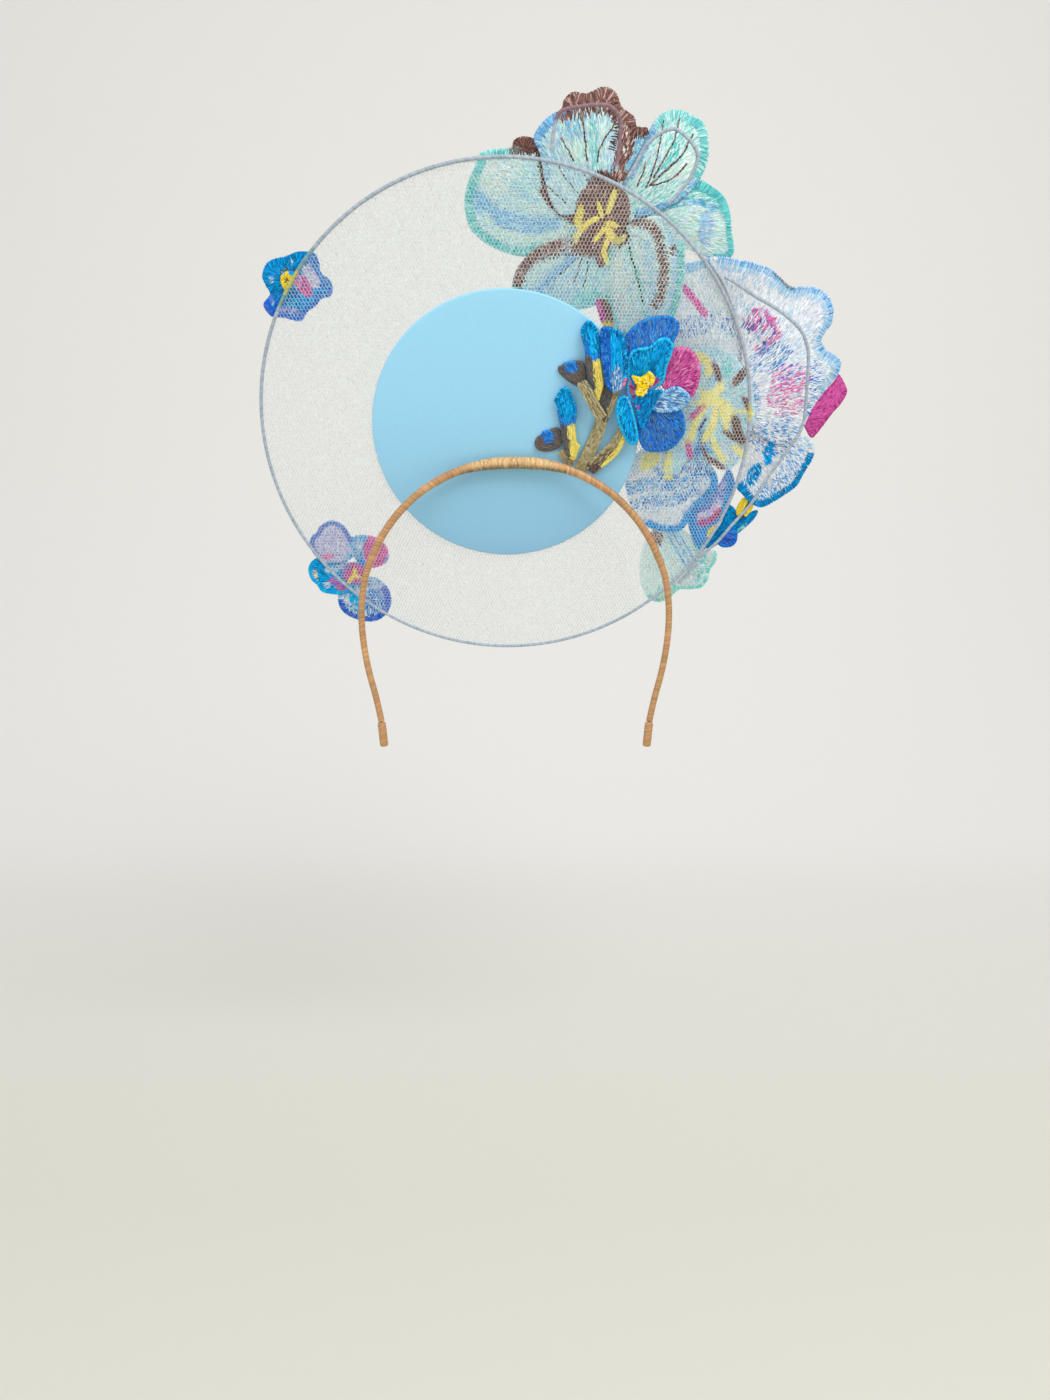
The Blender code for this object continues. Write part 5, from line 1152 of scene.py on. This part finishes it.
def stem(row, rng, material):
    height = layer_height(1, row.layer)
    drawn = through(row.route, 8, False)
    lane_line = even(np.column_stack((seen_on_halo(drawn[:, :2], height), drawn[:, 2] * VIEW_UNIT / 2)), 0.9 * MM, False)
    middle_line, half = lane_line[:, :2], lane_line[:, 2:3]
    across = turned_left(unit(np.gradient(middle_line, axis=0)))
    left, right = middle_line + across * half, middle_line - across * half
    outline = np.vstack((right, left[::-1]))
    rings = np.linspace(-1.0, 1.0, 5)
    flat = np.concatenate([middle_line + across * half * r for r in rings])
    level = height(flat) + rumple(1, flat)
    n, m = len(middle_line), len(flat)
    grid = grid_tris(5, n, False)
    verts = from_halo(np.vstack((np.column_stack((flat, level + CLOTH_HALF)), np.column_stack((flat, level - CLOTH_HALF)))))
    border = np.concatenate((np.arange(n), np.arange(1, 5) * n + n - 1, 4 * n + np.arange(n - 2, -1, -1), np.arange(3, 0, -1) * n))
    after = np.roll(border, -1)
    wall = np.vstack((np.stack((border, after, after + m), axis=1), np.stack((border, after + m, border + m), axis=1)))
    tris = np.vstack((grid, grid[:, ::-1] + m, wall))

    def tinted(places):
        marks = marks_of(np.column_stack((places, height(places))))
        return painted(row.name, marks, np.full(len(places), 99.0), rng)

    # painted shade: the cloth under the chain stitches is painted at half their colour, for the shade in the gaps
    # between them
    obj = mesh_object(row.name + "_cloth", verts, tris, material, np.tile(tinted(flat) * 0.5, (2, 1)))
    obj.data.set_sharp_from_angle(angle=math.radians(50))
    threads = Threads()
    lanes = np.linspace(-0.8, 0.8, max(3, int(round(float(half.max()) * 2 / (1.15 * MM)))))
    for face in (1, -1):
        for lane in lanes:
            centre = even(middle_line + across * half * lane, 1.35 * MM, False)
            ahead = unit(np.gradient(centre, axis=0))
            centre = centre + ahead * rng.uniform(-0.4, 0.4) * MM
            side_way = turned_left(ahead)
            for sign in (-1, 1):  # the two arms of each chain stitch
                start = centre - ahead * 0.85 * MM + side_way * sign * 0.05 * MM
                end = centre + ahead * 0.85 * MM + side_way * sign * 0.42 * MM
                laid(threads, start, end, face, height, 1, 0.14 * MM, 0.42 * MM, rng, uneven(tinted(centre), rng, 0.13))
        for sign in (-1, 1):  # edge stitches
            edge_line = even(middle_line + across * half * 0.97 * sign, 0.45 * MM, False)
            ahead = unit(np.gradient(edge_line, axis=0))
            side_way = turned_left(ahead)
            laid(threads, edge_line - side_way * 0.45 * MM - ahead * 0.3 * MM, edge_line + side_way * 0.45 * MM + ahead * 0.3 * MM,
                 face, height, 1, 0.06 * MM, 0.5 * MM, rng, uneven(tinted(edge_line - side_way * 0.6 * MM * sign), rng, 0.15))
    threads_obj = threads.build(row.name + "_threads", material)
    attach(obj, "root")
    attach(threads_obj, "root")
    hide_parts(row.name)
    # no side is written under 10 mm, so the strip's box is given wider than it is; the area is the true one
    abs(outline_area(outline))


# ---------------------------------------------------------------- net, wires, base and headband
STRAND_TRIS = np.array(((0, 1, 4), (0, 4, 3), (1, 2, 5), (1, 5, 4), (2, 0, 3), (2, 3, 5)))[:, ::-1]
STRAND_UV = np.array(((0, 0), (0, 0.5), (0, 1), (1, 0), (1, 0.5), (1, 1)))


def strands(name, ends, widths, material, colours):
    """Three-sided threads of the net between pairs of places."""
    start, end = ends[:, 0], ends[:, 1]
    left = turned_left(unit(end - start))
    half = widths[:, None] / 2
    level = np.full((len(start), 1), WIRE_BACK)
    places = []
    for place in (start, end):
        for shift, rise in ((1.0, -0.3), (0.0, 0.5), (-1.0, -0.3)):
            places.append(np.hstack((place + left * half * shift, level + half * rise)))
    threads = Threads()
    threads.add(from_halo(np.stack(places, axis=1)), STRAND_TRIS, STRAND_UV, colours)
    return threads.build(name, material)


def net(material, rng):
    """Hexagonal net; its holes lean outward and its threads are painted with part of the colours of the cloth sewn
    behind them: painted light from that cloth showing through the thin threads.
    """
    pitch, row_pitch = 1.64 * MM, 1.65 * MM
    count = int(NET_OUTER / row_pitch) + 3
    rows = np.arange(-count, count + 1)
    columns = np.arange(-count, count + 1)
    i, j = np.meshgrid(columns, rows)
    centre = np.stack(((i + 0.5 * (j % 2)) * pitch, j * row_pitch), axis=-1).reshape(-1, 2)
    third = row_pitch / 3.0
    # corners of the cell at the right: upper right, lower right, and the top of the cell
    upper, lower, top = np.array((pitch / 2, third)), np.array((pitch / 2, -third)), np.array((0.0, 2 * third))
    pairs = np.concatenate((
        np.stack((centre + lower, centre + upper), axis=1),
        np.stack((centre + upper, centre + top), axis=1),
        np.stack((centre + top, centre + upper * (-1, 1)), axis=1),
    ))
    sign = np.repeat(((-1.0, 1.0), (1.0, -1.0), (-1.0, 1.0)), len(centre), axis=0)
    widths = np.repeat((0.42 * MM, 0.32 * MM, 0.33 * MM), len(centre))
    bearing = np.arctan2(pairs[..., 0], pairs[..., 1])
    pairs[..., 0] += sign * 0.25 * MM * np.sin(2 * bearing)
    warp = np.stack((0.35 * MM * np.sin(pairs[..., 1] / (21 * MM)), 0.30 * MM * np.sin(pairs[..., 0] / (17 * MM))), axis=-1)
    pairs = pairs + warp
    far = np.linalg.norm(pairs, axis=2)
    keep = (far.max(axis=1) > NET_INNER) & (far.min(axis=1) < NET_OUTER) & (far.min(axis=1) > NET_INNER - 1.2 * MM)
    pairs, widths, far = pairs[keep], widths[keep], far[keep]
    pairs = pairs * np.minimum(1.0, NET_OUTER / far)[..., None] + HALO_CENTRE
    widths = widths * rng.uniform(0.85, 1.15, len(widths))
    middle = pairs.mean(axis=1)
    marks = marks_of(np.column_stack((middle, np.full(len(middle), WIRE_BACK))))
    colours = np.repeat(linear(NET_TINT)[None], len(marks), axis=0)
    for row in sorted((row for row in PETALS if row.side < 0), key=lambda row: -row.layer):
        outline = through(row.marks, 4, True)
        hit = np.flatnonzero(inside(marks, outline))
        edge = gap_to(marks[hit], outline, True)
        behind = painted(row.name, marks[hit], edge, rng)
        for rim_row in RIMS:
            if rim_row.petal == row.name:
                route = through(rim_row.route, 4, False) if rim_row.route else outline
                near = gap_to(marks[hit], route, not rim_row.route) < rim_row.width
                behind[near] = choose(rim_row.colours, int(near.sum()), rng)
        for over in OVERS:
            if over.petal == row.name and over.kind == "satin":
                near = gap_to(marks[hit], through(over.marks, 5, False)) < over.width / 2
                behind[near] = choose(over.colours, int(near.sum()), rng)
        # painted light: the share taken grows with how bright the cloth behind is
        takes = NET_TAKES[0] + NET_TAKES[1] * np.sqrt(behind.mean(axis=1, keepdims=True))
        colours[hit] = linear(NET_TINT) * (1.0 - takes) + behind * takes
    colours = uneven(colours, rng, 0.07)
    made = []
    for name, side in (("net_left", -1), ("net_right", 1)):
        mine = np.sign(middle[:, 0] - HALO_CENTRE[0] + 1e-9) == side
        obj = strands(name, pairs[mine], widths[mine], material, colours[mine])
        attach(obj, "root")
        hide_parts("net_brim")
        made.append(obj)
    return made


def wound(name, route, closed, normal, radius, seams, depth, lean, tints, sides, material, node, squeeze=1.0,
          stain_or_painted_light=None, darkest=0.5):
    """A bar wrapped in turns of thread: seams are where the turns meet along it, and each turn is painted darker
    towards them, down to darkest, as painted shade in the grooves. stain: a colour for each place of the route and how
    much of it shows: a stain on the wires' thread, and painted light on the headband's bound stretch."""
    points = np.vstack((route[-1:], route, route[:1])) if closed else np.vstack((2 * route[0] - route[1], route, 2 * route[-1] - route[-2]))
    ahead = unit(points[2:] - points[:-2])
    sideways = unit(np.cross(normal, ahead))
    up = np.cross(ahead, sideways)
    run = np.concatenate(([0.0], np.cumsum(np.linalg.norm(np.diff(route, axis=0), axis=1))))
    theta = np.arange(sides) * math.tau / sides
    s = run[:, None] + lean(run)[:, None] * radius[:, None] * np.cos(theta + 0.6)[None, :]
    turn = np.clip(np.searchsorted(seams, s) - 1, 0, len(seams) - 2)
    u = np.clip((s - seams[turn]) / (seams[turn + 1] - seams[turn]), 0.0, 1.0)
    bump = (4 * u * (1 - u)) ** 0.3
    r = radius[:, None] - depth * (1 - bump)
    places = (route[:, None] + sideways[:, None] * (r * np.cos(theta))[..., None] * squeeze + up[:, None] * (r * np.sin(theta))[..., None])
    colours = tints[turn % len(tints)]
    if stain_or_painted_light is not None:
        over, much = stain_or_painted_light
        tone = colours.mean(axis=2, keepdims=True) / tints.mean()
        colours = colours * (1.0 - much[:, None, None]) + over[:, None, :] * tone * much[:, None, None]
    # painted shade: each turn darkens towards the seams where it dips between its neighbours
    colours = colours * (darkest + (1.0 - darkest) * bump)[..., None]
    verts = places.reshape(-1, 3)
    count = len(route)
    tris = grid_tris(count, sides, True)
    if closed:
        j = np.arange(sides)
        k = (j + 1) % sides
        a, b = (count - 1) * sides + j, (count - 1) * sides + k
        tris = np.vstack((tris, np.stack((a, b, k), axis=1), np.stack((a, k, j), axis=1)))
    else:
        verts = np.vstack((verts, route[0] - ahead[0] * radius[0] * 0.15, route[-1] + ahead[-1] * radius[-1] * 0.15))
        j = np.arange(sides)
        k = (j + 1) % sides
        first, final = count * sides, count * sides + 1
        last = (count - 1) * sides
        tris = np.vstack((tris, np.stack((np.full(sides, first), k, j), axis=1),
                          np.stack((np.full(sides, final), last + j, last + k), axis=1)))
        colours = colours.reshape(-1, 3)
        colours = np.vstack((colours, colours[:1], colours[-1:]))
    # one strip of the UV map for each stretch of the bar
    uvs = bar_uvs(tris, count, sides, closed)
    obj = mesh_object(name, verts, tris, material, colours.reshape(-1, 3), uvs)
    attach(obj, "root")
    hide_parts(node)
    return obj


def bar_uvs(tris, count, sides, closed):
    """The skin of a bar in the UV map: stretches of it lie side by side as columns."""
    columns = max(1, int(round(math.sqrt(count / sides))))
    per = math.ceil(count / columns)
    ring, place = tris // sides, tris % sides
    cap = tris >= count * sides
    first = ring.min(axis=1)
    wrapped = closed & ((ring.max(axis=1) - first) > 1)
    first = np.where(wrapped, count - 1, first)
    along = np.where((ring == 0) & wrapped[:, None], count, ring)
    along = np.where(cap, first[:, None], along)
    column = np.minimum(first // per, columns - 1)
    over = place.astype(float)
    seam = (place.max(axis=1) - place.min(axis=1)) > 1
    over = np.where(seam[:, None] & (place == 0), sides, over)
    over = np.where(cap, over.max(axis=1)[:, None] - 0.5, over)
    u = (column[:, None] + 0.04 + 0.92 * np.clip(over / sides, 0, 1)) / columns
    v = 0.01 + 0.98 * np.clip((along - column[:, None] * per) / per, 0, 1)
    return np.stack((u, v), axis=-1).reshape(-1, 2)


def even_seams(length, pitch, spread, rng):
    gaps = pitch * np.exp(rng.normal(0.0, spread, int(length / pitch * 1.6) + 20))
    seams = np.cumsum(gaps) - 6 * pitch
    return seams[seams < length + 6 * pitch]


def wires(material, rng):
    tints = uneven(np.repeat(linear((176, 189, 202))[None], 31, axis=0), rng, 0.08)
    # most turns are pale, and now and then one is darker
    tints[::4] *= 0.85
    count = 2300
    angle = np.arange(count) * math.tau / count
    flat = np.column_stack((HALO_CENTRE[0] + RIM_RADIUS * np.sin(angle), HALO_CENTRE[1] + RIM_RADIUS * np.cos(angle),
                            np.full(count, WIRE_BACK)))

    def lean(run):
        return 0.5 + 0.25 * np.sin(run / (9 * MM))

    def stained(name, route):
        marks = marks_at(route)
        over, much = np.zeros((len(route), 3)), np.zeros(len(route))
        for row in STAINS:
            if row.wire == name:
                here = np.clip((row.width - gap_to(marks, through(row.marks, 5, False))) / 3.0, 0.0, 0.85)
                over[here > 0] = linear(row.colour)
                much = np.maximum(much, here)
        return over, much

    def bind(name, route, closed, seams, width):
        wound(name + "_binding", route, closed, BACK, np.full(len(route), width / 2), seams, 0.11 * MM, lean, tints, 6,
              material, name, stain_or_painted_light=stained(name, route), darkest=0.72)

    length = math.tau * RIM_RADIUS
    bind("brim_wire", from_halo(flat), True, np.linspace(-4 * MM, length + 4 * MM, int(length / (0.95 * MM))), WIRE_DIAMETER)
    for row in WIRES:
        place = seen_on_halo(through(row.marks, 12, False), lambda p: np.full(len(p), WIRE_BACK))
        place = even(place, 0.30 * MM, False)
        route = from_halo(np.column_stack((place, np.full(len(place), WIRE_BACK))))
        length = float(np.linalg.norm(np.diff(route, axis=0), axis=1).sum())
        bind(row.name, route, False, even_seams(length, 0.95 * MM, 0.1, rng), WIRE_DIAMETER * 0.95)


def base(material):
    """The felt round: a flat disc with a soft edge."""
    r, top, bottom, edge = BASE_RADIUS, BASE_BACK, BASE_FRONT, BASE_ROUND
    profile = [(0.0, top)] + [(part * (r - edge), top) for part in (0.2, 0.4, 0.6, 0.8, 0.9, 1.0)]
    for k in range(1, 7):
        a = math.pi / 2 * k / 6
        profile.append((r - edge + edge * math.sin(a), top - edge + edge * math.cos(a)))
    for k in range(0, 7):
        a = math.pi / 2 * k / 6
        profile.append((r - edge + edge * math.cos(a), bottom + edge - edge * math.sin(a)))
    profile += [(part * (r - edge), bottom) for part in (0.9, 0.8, 0.6, 0.4, 0.2)] + [(0.0, bottom)]
    sides = 180
    theta = np.arange(sides) * math.tau / sides
    inner = np.array(profile[1:-1])
    body = np.stack((np.outer(inner[:, 0], np.sin(theta)) + HALO_CENTRE[0], np.outer(inner[:, 0], np.cos(theta)) + HALO_CENTRE[1],
                     np.repeat(inner[:, 1:2], sides, axis=1)), axis=-1).reshape(-1, 3)
    poles = np.array(((*HALO_CENTRE, top), (*HALO_CENTRE, bottom)))
    verts = from_halo(np.vstack((body, poles)))
    n = len(inner)
    j = np.arange(sides)
    k = (j + 1) % sides
    last = (n - 1) * sides
    tris = np.vstack((grid_tris(n, sides, True)[:, ::-1],
                      np.stack((np.full(sides, n * sides), k, j), axis=1)[:, ::-1][:, ::-1],
                      np.stack((np.full(sides, n * sides + 1), last + j, last + k), axis=1)))
    # painted light and shade: the felt's colour darkens towards the bottom and is lifted across the middle, standing in
    # for how the light falls on it
    level = np.vstack((body, poles))[:, 1] - HALO_CENTRE[1]
    part = np.clip(0.5 + 0.5 * level / r, 0.0, 1.0)[:, None]
    colours = (linear(FELT_SHADED_BOTTOM) * (1.0 - part) + linear(FELT_LIT_TOP) * part) * (1.0 + 0.36 * part * (1.0 - part))
    obj = mesh_object("round_base_felt", verts, tris, material, colours)
    obj.data.set_sharp_from_angle(angle=math.radians(40))
    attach(obj, "root")
    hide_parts("round_base")
    return obj


def headband(material, rng):
    half = seen_on_band([(BAND_MIDDLE_SEEN + row.half, row.level) for row in ARCH])
    thick = np.array([row.diameter for row in ARCH]) * MM
    shift = np.array((half[0, 0], 0.0, half[0, 2] - thick[0] / 2))
    right = half - shift
    right[:, 1] = 0.0
    left = right[:0:-1] * (-1, 1, 1)
    drawn = np.column_stack((np.vstack((left, right)), np.concatenate((thick[:0:-1], thick))))
    drawn = even(through(drawn, 24, False), 0.2 * MM, False)
    route, outer = drawn[:, :3], drawn[:, 3] / 2
    bound = 1.0 - np.clip((np.abs(route[:, 0]) - BAND_BOUND_HALF) / (8.0 * MM), 0.0, 1.0)
    radius = outer - 0.05 * MM - 0.24 * MM * bound  # the loose threads of the bound stretch lie over it
    gold = linear(GOLD)
    tones = np.exp(rng.normal(0.0, 0.10, 53))
    warm = rng.normal(0.0, 0.03, (53, 3))
    tints = np.clip(gold * tones[:, None] * (1.0 + warm), 0.0, 1.0)
    run = np.concatenate(([0.0], np.cumsum(np.linalg.norm(np.diff(route, axis=0), axis=1))))
    wander = rng.normal(0.0, 1.0, 400)

    def lean(at):
        return 0.30 + 0.28 * np.interp(at / (2.2 * MM), np.arange(400), wander)

    normal = np.array((0.0, -1.0, 0.0))
    # painted light: the bound stretch on top is painted towards the lit gold
    stain_or_painted_light = np.repeat(linear(GOLD_LIT)[None], len(route), axis=0), 0.8 * bound
    wound("headband_winding", route, False, normal, radius, even_seams(run[-1], 1.5 * MM, 0.45, rng), 0.14 * MM, lean,
          tints, 14, material, "headband", stain_or_painted_light=stain_or_painted_light, darkest=0.35)
    # the bound stretch on top: fine threads wound round and round, some of them dark and slanting
    count = 440
    at = np.sort(rng.uniform(-BAND_BOUND_HALF - 6.0 * MM, BAND_BOUND_HALF + 6.0 * MM, count))
    index = np.searchsorted(route[:, 0], at)
    centre = route[index]
    ahead = unit(route[np.minimum(index + 3, len(route) - 1)] - route[np.maximum(index - 3, 0)])
    up = unit(np.cross(normal, ahead))
    sides = 14
    theta = np.arange(sides) * math.tau / sides
    dark = rng.random(count) < 0.06
    tilt = np.where(dark, rng.uniform(0.25, 0.6, count) * rng.choice((-1, 1), count), rng.normal(0.0, 0.32, count))
    off = rng.uniform(0.0, math.tau, count)
    body = outer[index] - 0.28 * MM + rng.uniform(0.0, 0.13, count) * MM + np.where(dark, 0.06 * MM, 0.0)
    outward = up[:, None] * np.cos(theta)[None, :, None] + normal * np.sin(theta)[None, :, None]
    loop = (centre[:, None] + outward * body[:, None, None]
            + ahead[:, None] * (tilt[:, None] * body[:, None] * np.cos(theta + off[:, None]))[..., None])
    thick = np.where(dark, 0.07, rng.uniform(0.08, 0.12, count))[:, None, None] * MM
    section = np.stack((loop + outward * thick, loop + ahead[:, None] * thick * 0.9 - outward * thick * 0.4,
                        loop - ahead[:, None] * thick * 0.9 - outward * thick * 0.4), axis=2)
    threads = Threads()
    j = np.arange(sides)
    k = (j + 1) % sides
    shape = np.vstack([np.vstack((np.stack((3 * j + a, 3 * k + a, 3 * k + b), axis=1), np.stack((3 * j + a, 3 * k + b, 3 * j + b), axis=1)))
                       for a, b in ((0, 1), (1, 2), (2, 0))])
    uv = np.stack((np.repeat(j / sides, 3), np.tile((0.1, 0.5, 0.9), sides)), axis=1)
    # painted light: bound threads near the middle of the stretch take the lit gold
    lit = np.clip(1.0 - (np.abs(at) - BAND_BOUND_HALF + 4 * MM) / (9 * MM), 0.0, 1.0)[:, None]
    tint = gold * (1.0 - lit) + linear(GOLD_LIT) * lit
    tint = np.where(dark[:, None], linear(GOLD_DARK), tint * np.exp(rng.normal(0.0, 0.22, (count, 1))))
    threads.add(section.reshape(count, -1, 3), shape, uv, np.clip(tint, 0, 1))
    # painted shade: the undersides of the loops are painted darker
    under = np.clip(-0.2 - np.cos(theta), 0.0, 0.6) / 0.6
    shade = np.repeat(1.0 - 0.62 * under, 3)
    threads.colours[-1] = threads.colours[-1] * np.tile(shade, count)[:, None]
    obj = threads.build("headband_bound_threads", material)
    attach(obj, "root")
    # tips
    end = seen_on_band((BAND_MIDDLE_SEEN + TIP_END.half, TIP_END.level))[0] - shift
    along = unit(np.array((end[0] - right[-1, 0], 0.0, end[2] - right[-1, 2])))
    for name, sign in (("band_tip_left", -1.0), ("band_tip_right", 1.0)):
        axis = along * (sign, 1.0, 1.0)
        start = right[-1] * (sign, 1.0, 1.0) + axis * 0.35 * MM
        part = np.linspace(0.0, 1.0, 66)
        line_places = start + axis * (part * TIP_LENGTH)[:, None]
        shape = np.clip(np.minimum(part, 1 - part) * TIP_LENGTH / TIP_ROUND, 0.0, 1.0)
        shape = 0.55 + 0.45 * np.sqrt(1 - (1 - shape) ** 2)
        wound(name + "_winding", line_places, False, normal, TIP_THICKNESS / 2 * shape, even_seams(TIP_LENGTH, 1.4 * MM, 0.3, rng),
              0.12 * MM, lean, tints, 16, material, name, squeeze=TIP_WIDTH / TIP_THICKNESS, darkest=0.4)


# ---------------------------------------------------------------- materials
def thread_material(name, roughness, sheen, specular=0.4):
    material = bpy.data.materials.new(name)
    material.use_nodes = True
    nodes, links = material.node_tree.nodes, material.node_tree.links
    shader = nodes["Principled BSDF"]
    tint = nodes.new("ShaderNodeAttribute")
    tint.attribute_name = "Thread"
    links.new(tint.outputs["Color"], shader.inputs["Base Color"])
    shader.inputs["Roughness"].default_value = roughness
    shader.inputs["Specular IOR Level"].default_value = specular
    shader.inputs["Sheen Weight"].default_value = sheen
    shader.inputs["Sheen Roughness"].default_value = 0.4
    return material


def plain_material(name, colour, roughness, specular=0.3, sheen=0.0):
    material = bpy.data.materials.new(name)
    material.use_nodes = True
    shader = material.node_tree.nodes["Principled BSDF"]
    shader.inputs["Base Color"].default_value = (*linear(colour), 1.0)
    shader.inputs["Roughness"].default_value = roughness
    shader.inputs["Specular IOR Level"].default_value = specular
    shader.inputs["Sheen Weight"].default_value = sheen
    return material


def felt_material():
    material = thread_material("felt_blue", 0.85, 0.12, 0.2)
    nodes, links = material.node_tree.nodes, material.node_tree.links
    shader = nodes["Principled BSDF"]
    where = nodes.new("ShaderNodeTexCoord")
    grain = nodes.new("ShaderNodeTexNoise")
    grain.inputs["Scale"].default_value = 2600.0
    grain.inputs["Detail"].default_value = 3.0
    links.new(where.outputs["Object"], grain.inputs["Vector"])
    speckle = nodes.new("ShaderNodeMapRange")
    speckle.inputs["From Min"].default_value = 0.3
    speckle.inputs["From Max"].default_value = 0.7
    speckle.inputs["To Min"].default_value = 0.95
    speckle.inputs["To Max"].default_value = 1.05
    links.new(grain.outputs["Fac"], speckle.inputs["Value"])
    tinted = nodes.new("ShaderNodeVectorMath")
    tinted.operation = "SCALE"
    colour = next(node for node in nodes if node.type == "ATTRIBUTE")
    links.new(colour.outputs["Color"], tinted.inputs["Vector"])
    links.new(speckle.outputs["Result"], tinted.inputs["Scale"])
    links.new(tinted.outputs["Vector"], shader.inputs["Base Color"])
    bump = nodes.new("ShaderNodeBump")
    bump.inputs["Strength"].default_value = 0.12
    bump.inputs["Distance"].default_value = 0.0003
    links.new(grain.outputs["Fac"], bump.inputs["Height"])
    links.new(bump.outputs["Normal"], shader.inputs["Normal"])
    return material


# ---------------------------------------------------------------- stage, light and camera
def studio():
    # a floor that sweeps up into the backdrop
    profile = [(-2.2, -0.40), (0.0, -0.40), (0.2, -0.40), (0.4, -0.40), (0.55, -0.40)]
    for k in range(1, 25):
        a = math.pi / 2 * k / 24
        profile.append((0.55 + 0.6 * math.sin(a), -0.40 + 0.6 * (1 - math.cos(a))))
    profile.append((1.15, 2.6))
    verts = [(x, y, z) for x in (-3.0, 3.0) for y, z in profile]
    n = len(profile)
    tris = [t for i in range(n - 1) for t in ((i, i + 1, n + i + 1), (i, n + i + 1, n + i))]
    paper = thread_material("backdrop_paper", 0.95, 0.0, 0.0)
    verts = np.array(verts)
    part = np.clip(verts[:, 1] / 0.7, 0.0, 1.0)[:, None]
    colours = linear(FLOOR_TINT) * (1.0 - part) + linear(WALL_TINT) * part
    sweep = mesh_object("backdrop", verts, np.array(tris)[:, ::-1], paper, colours)
    world = bpy.data.worlds.new("soft_room")
    bpy.context.scene.world = world
    world.use_nodes = True
    world.node_tree.nodes["Background"].inputs["Color"].default_value = (1.0, 1.0, 1.0, 1.0)
    world.node_tree.nodes["Background"].inputs["Strength"].default_value = 0.62
    for name, place, aim, size, power in (
        ("key", (0.55, -0.9, 0.85), (0.0, 0.0, 0.05), 0.8, 11.0),
        ("fill", (-1.0, -1.1, 0.4), (0.0, 0.0, 0.0), 1.2, 5.0),
    ):
        data = bpy.data.lights.new(name, "AREA")
        data.shape = "DISK"
        data.size = size
        data.energy = power
        lamp = bpy.data.objects.new(name, data)
        bpy.context.scene.collection.objects.link(lamp)
        lamp.location = place
        way = np.array(aim) - np.array(place)
        flat = math.hypot(way[0], way[1])
        lamp.rotation_euler = (math.pi / 2 + math.atan2(way[2], flat), 0.0, math.atan2(-way[0], way[1]))
    camera_data = bpy.data.cameras.new("camera")
    camera = bpy.data.objects.new("camera", camera_data)
    bpy.context.scene.collection.objects.link(camera)
    camera_data.sensor_width = 36.0
    camera_data.sensor_fit = "AUTO"
    camera_data.lens = 36.0 * 1051.0 / 1400.0
    camera_data.clip_start = 0.01
    camera.location = EYE
    camera.rotation_euler = (math.pi / 2 - EYE_DOWN, 0.0, 0.0)
    bpy.context.scene.camera = camera
    bpy.context.scene.view_settings.view_transform = "Standard"
    bpy.context.scene.view_settings.look = "None"


def main():
    rng = np.random.default_rng(7)
    thread = thread_material("embroidery_thread", 0.6, 0.02, 0.10)
    satin = thread_material("gold_satin_thread", 0.38, 0.05, 0.5)
    binding = thread_material("wire_binding", 0.7, 0.1, 0.25)
    tulle = thread_material("net_thread", 0.6, 0.05, 0.3)
    felt = felt_material()
    wires(binding, rng)
    headband(satin, rng)
    nets = net(tulle, rng)
    base(felt)
    for row in PETALS:
        petal(row, rng, thread)
    for row in STEMS:
        stem(row, rng, thread)
    studio()


main()
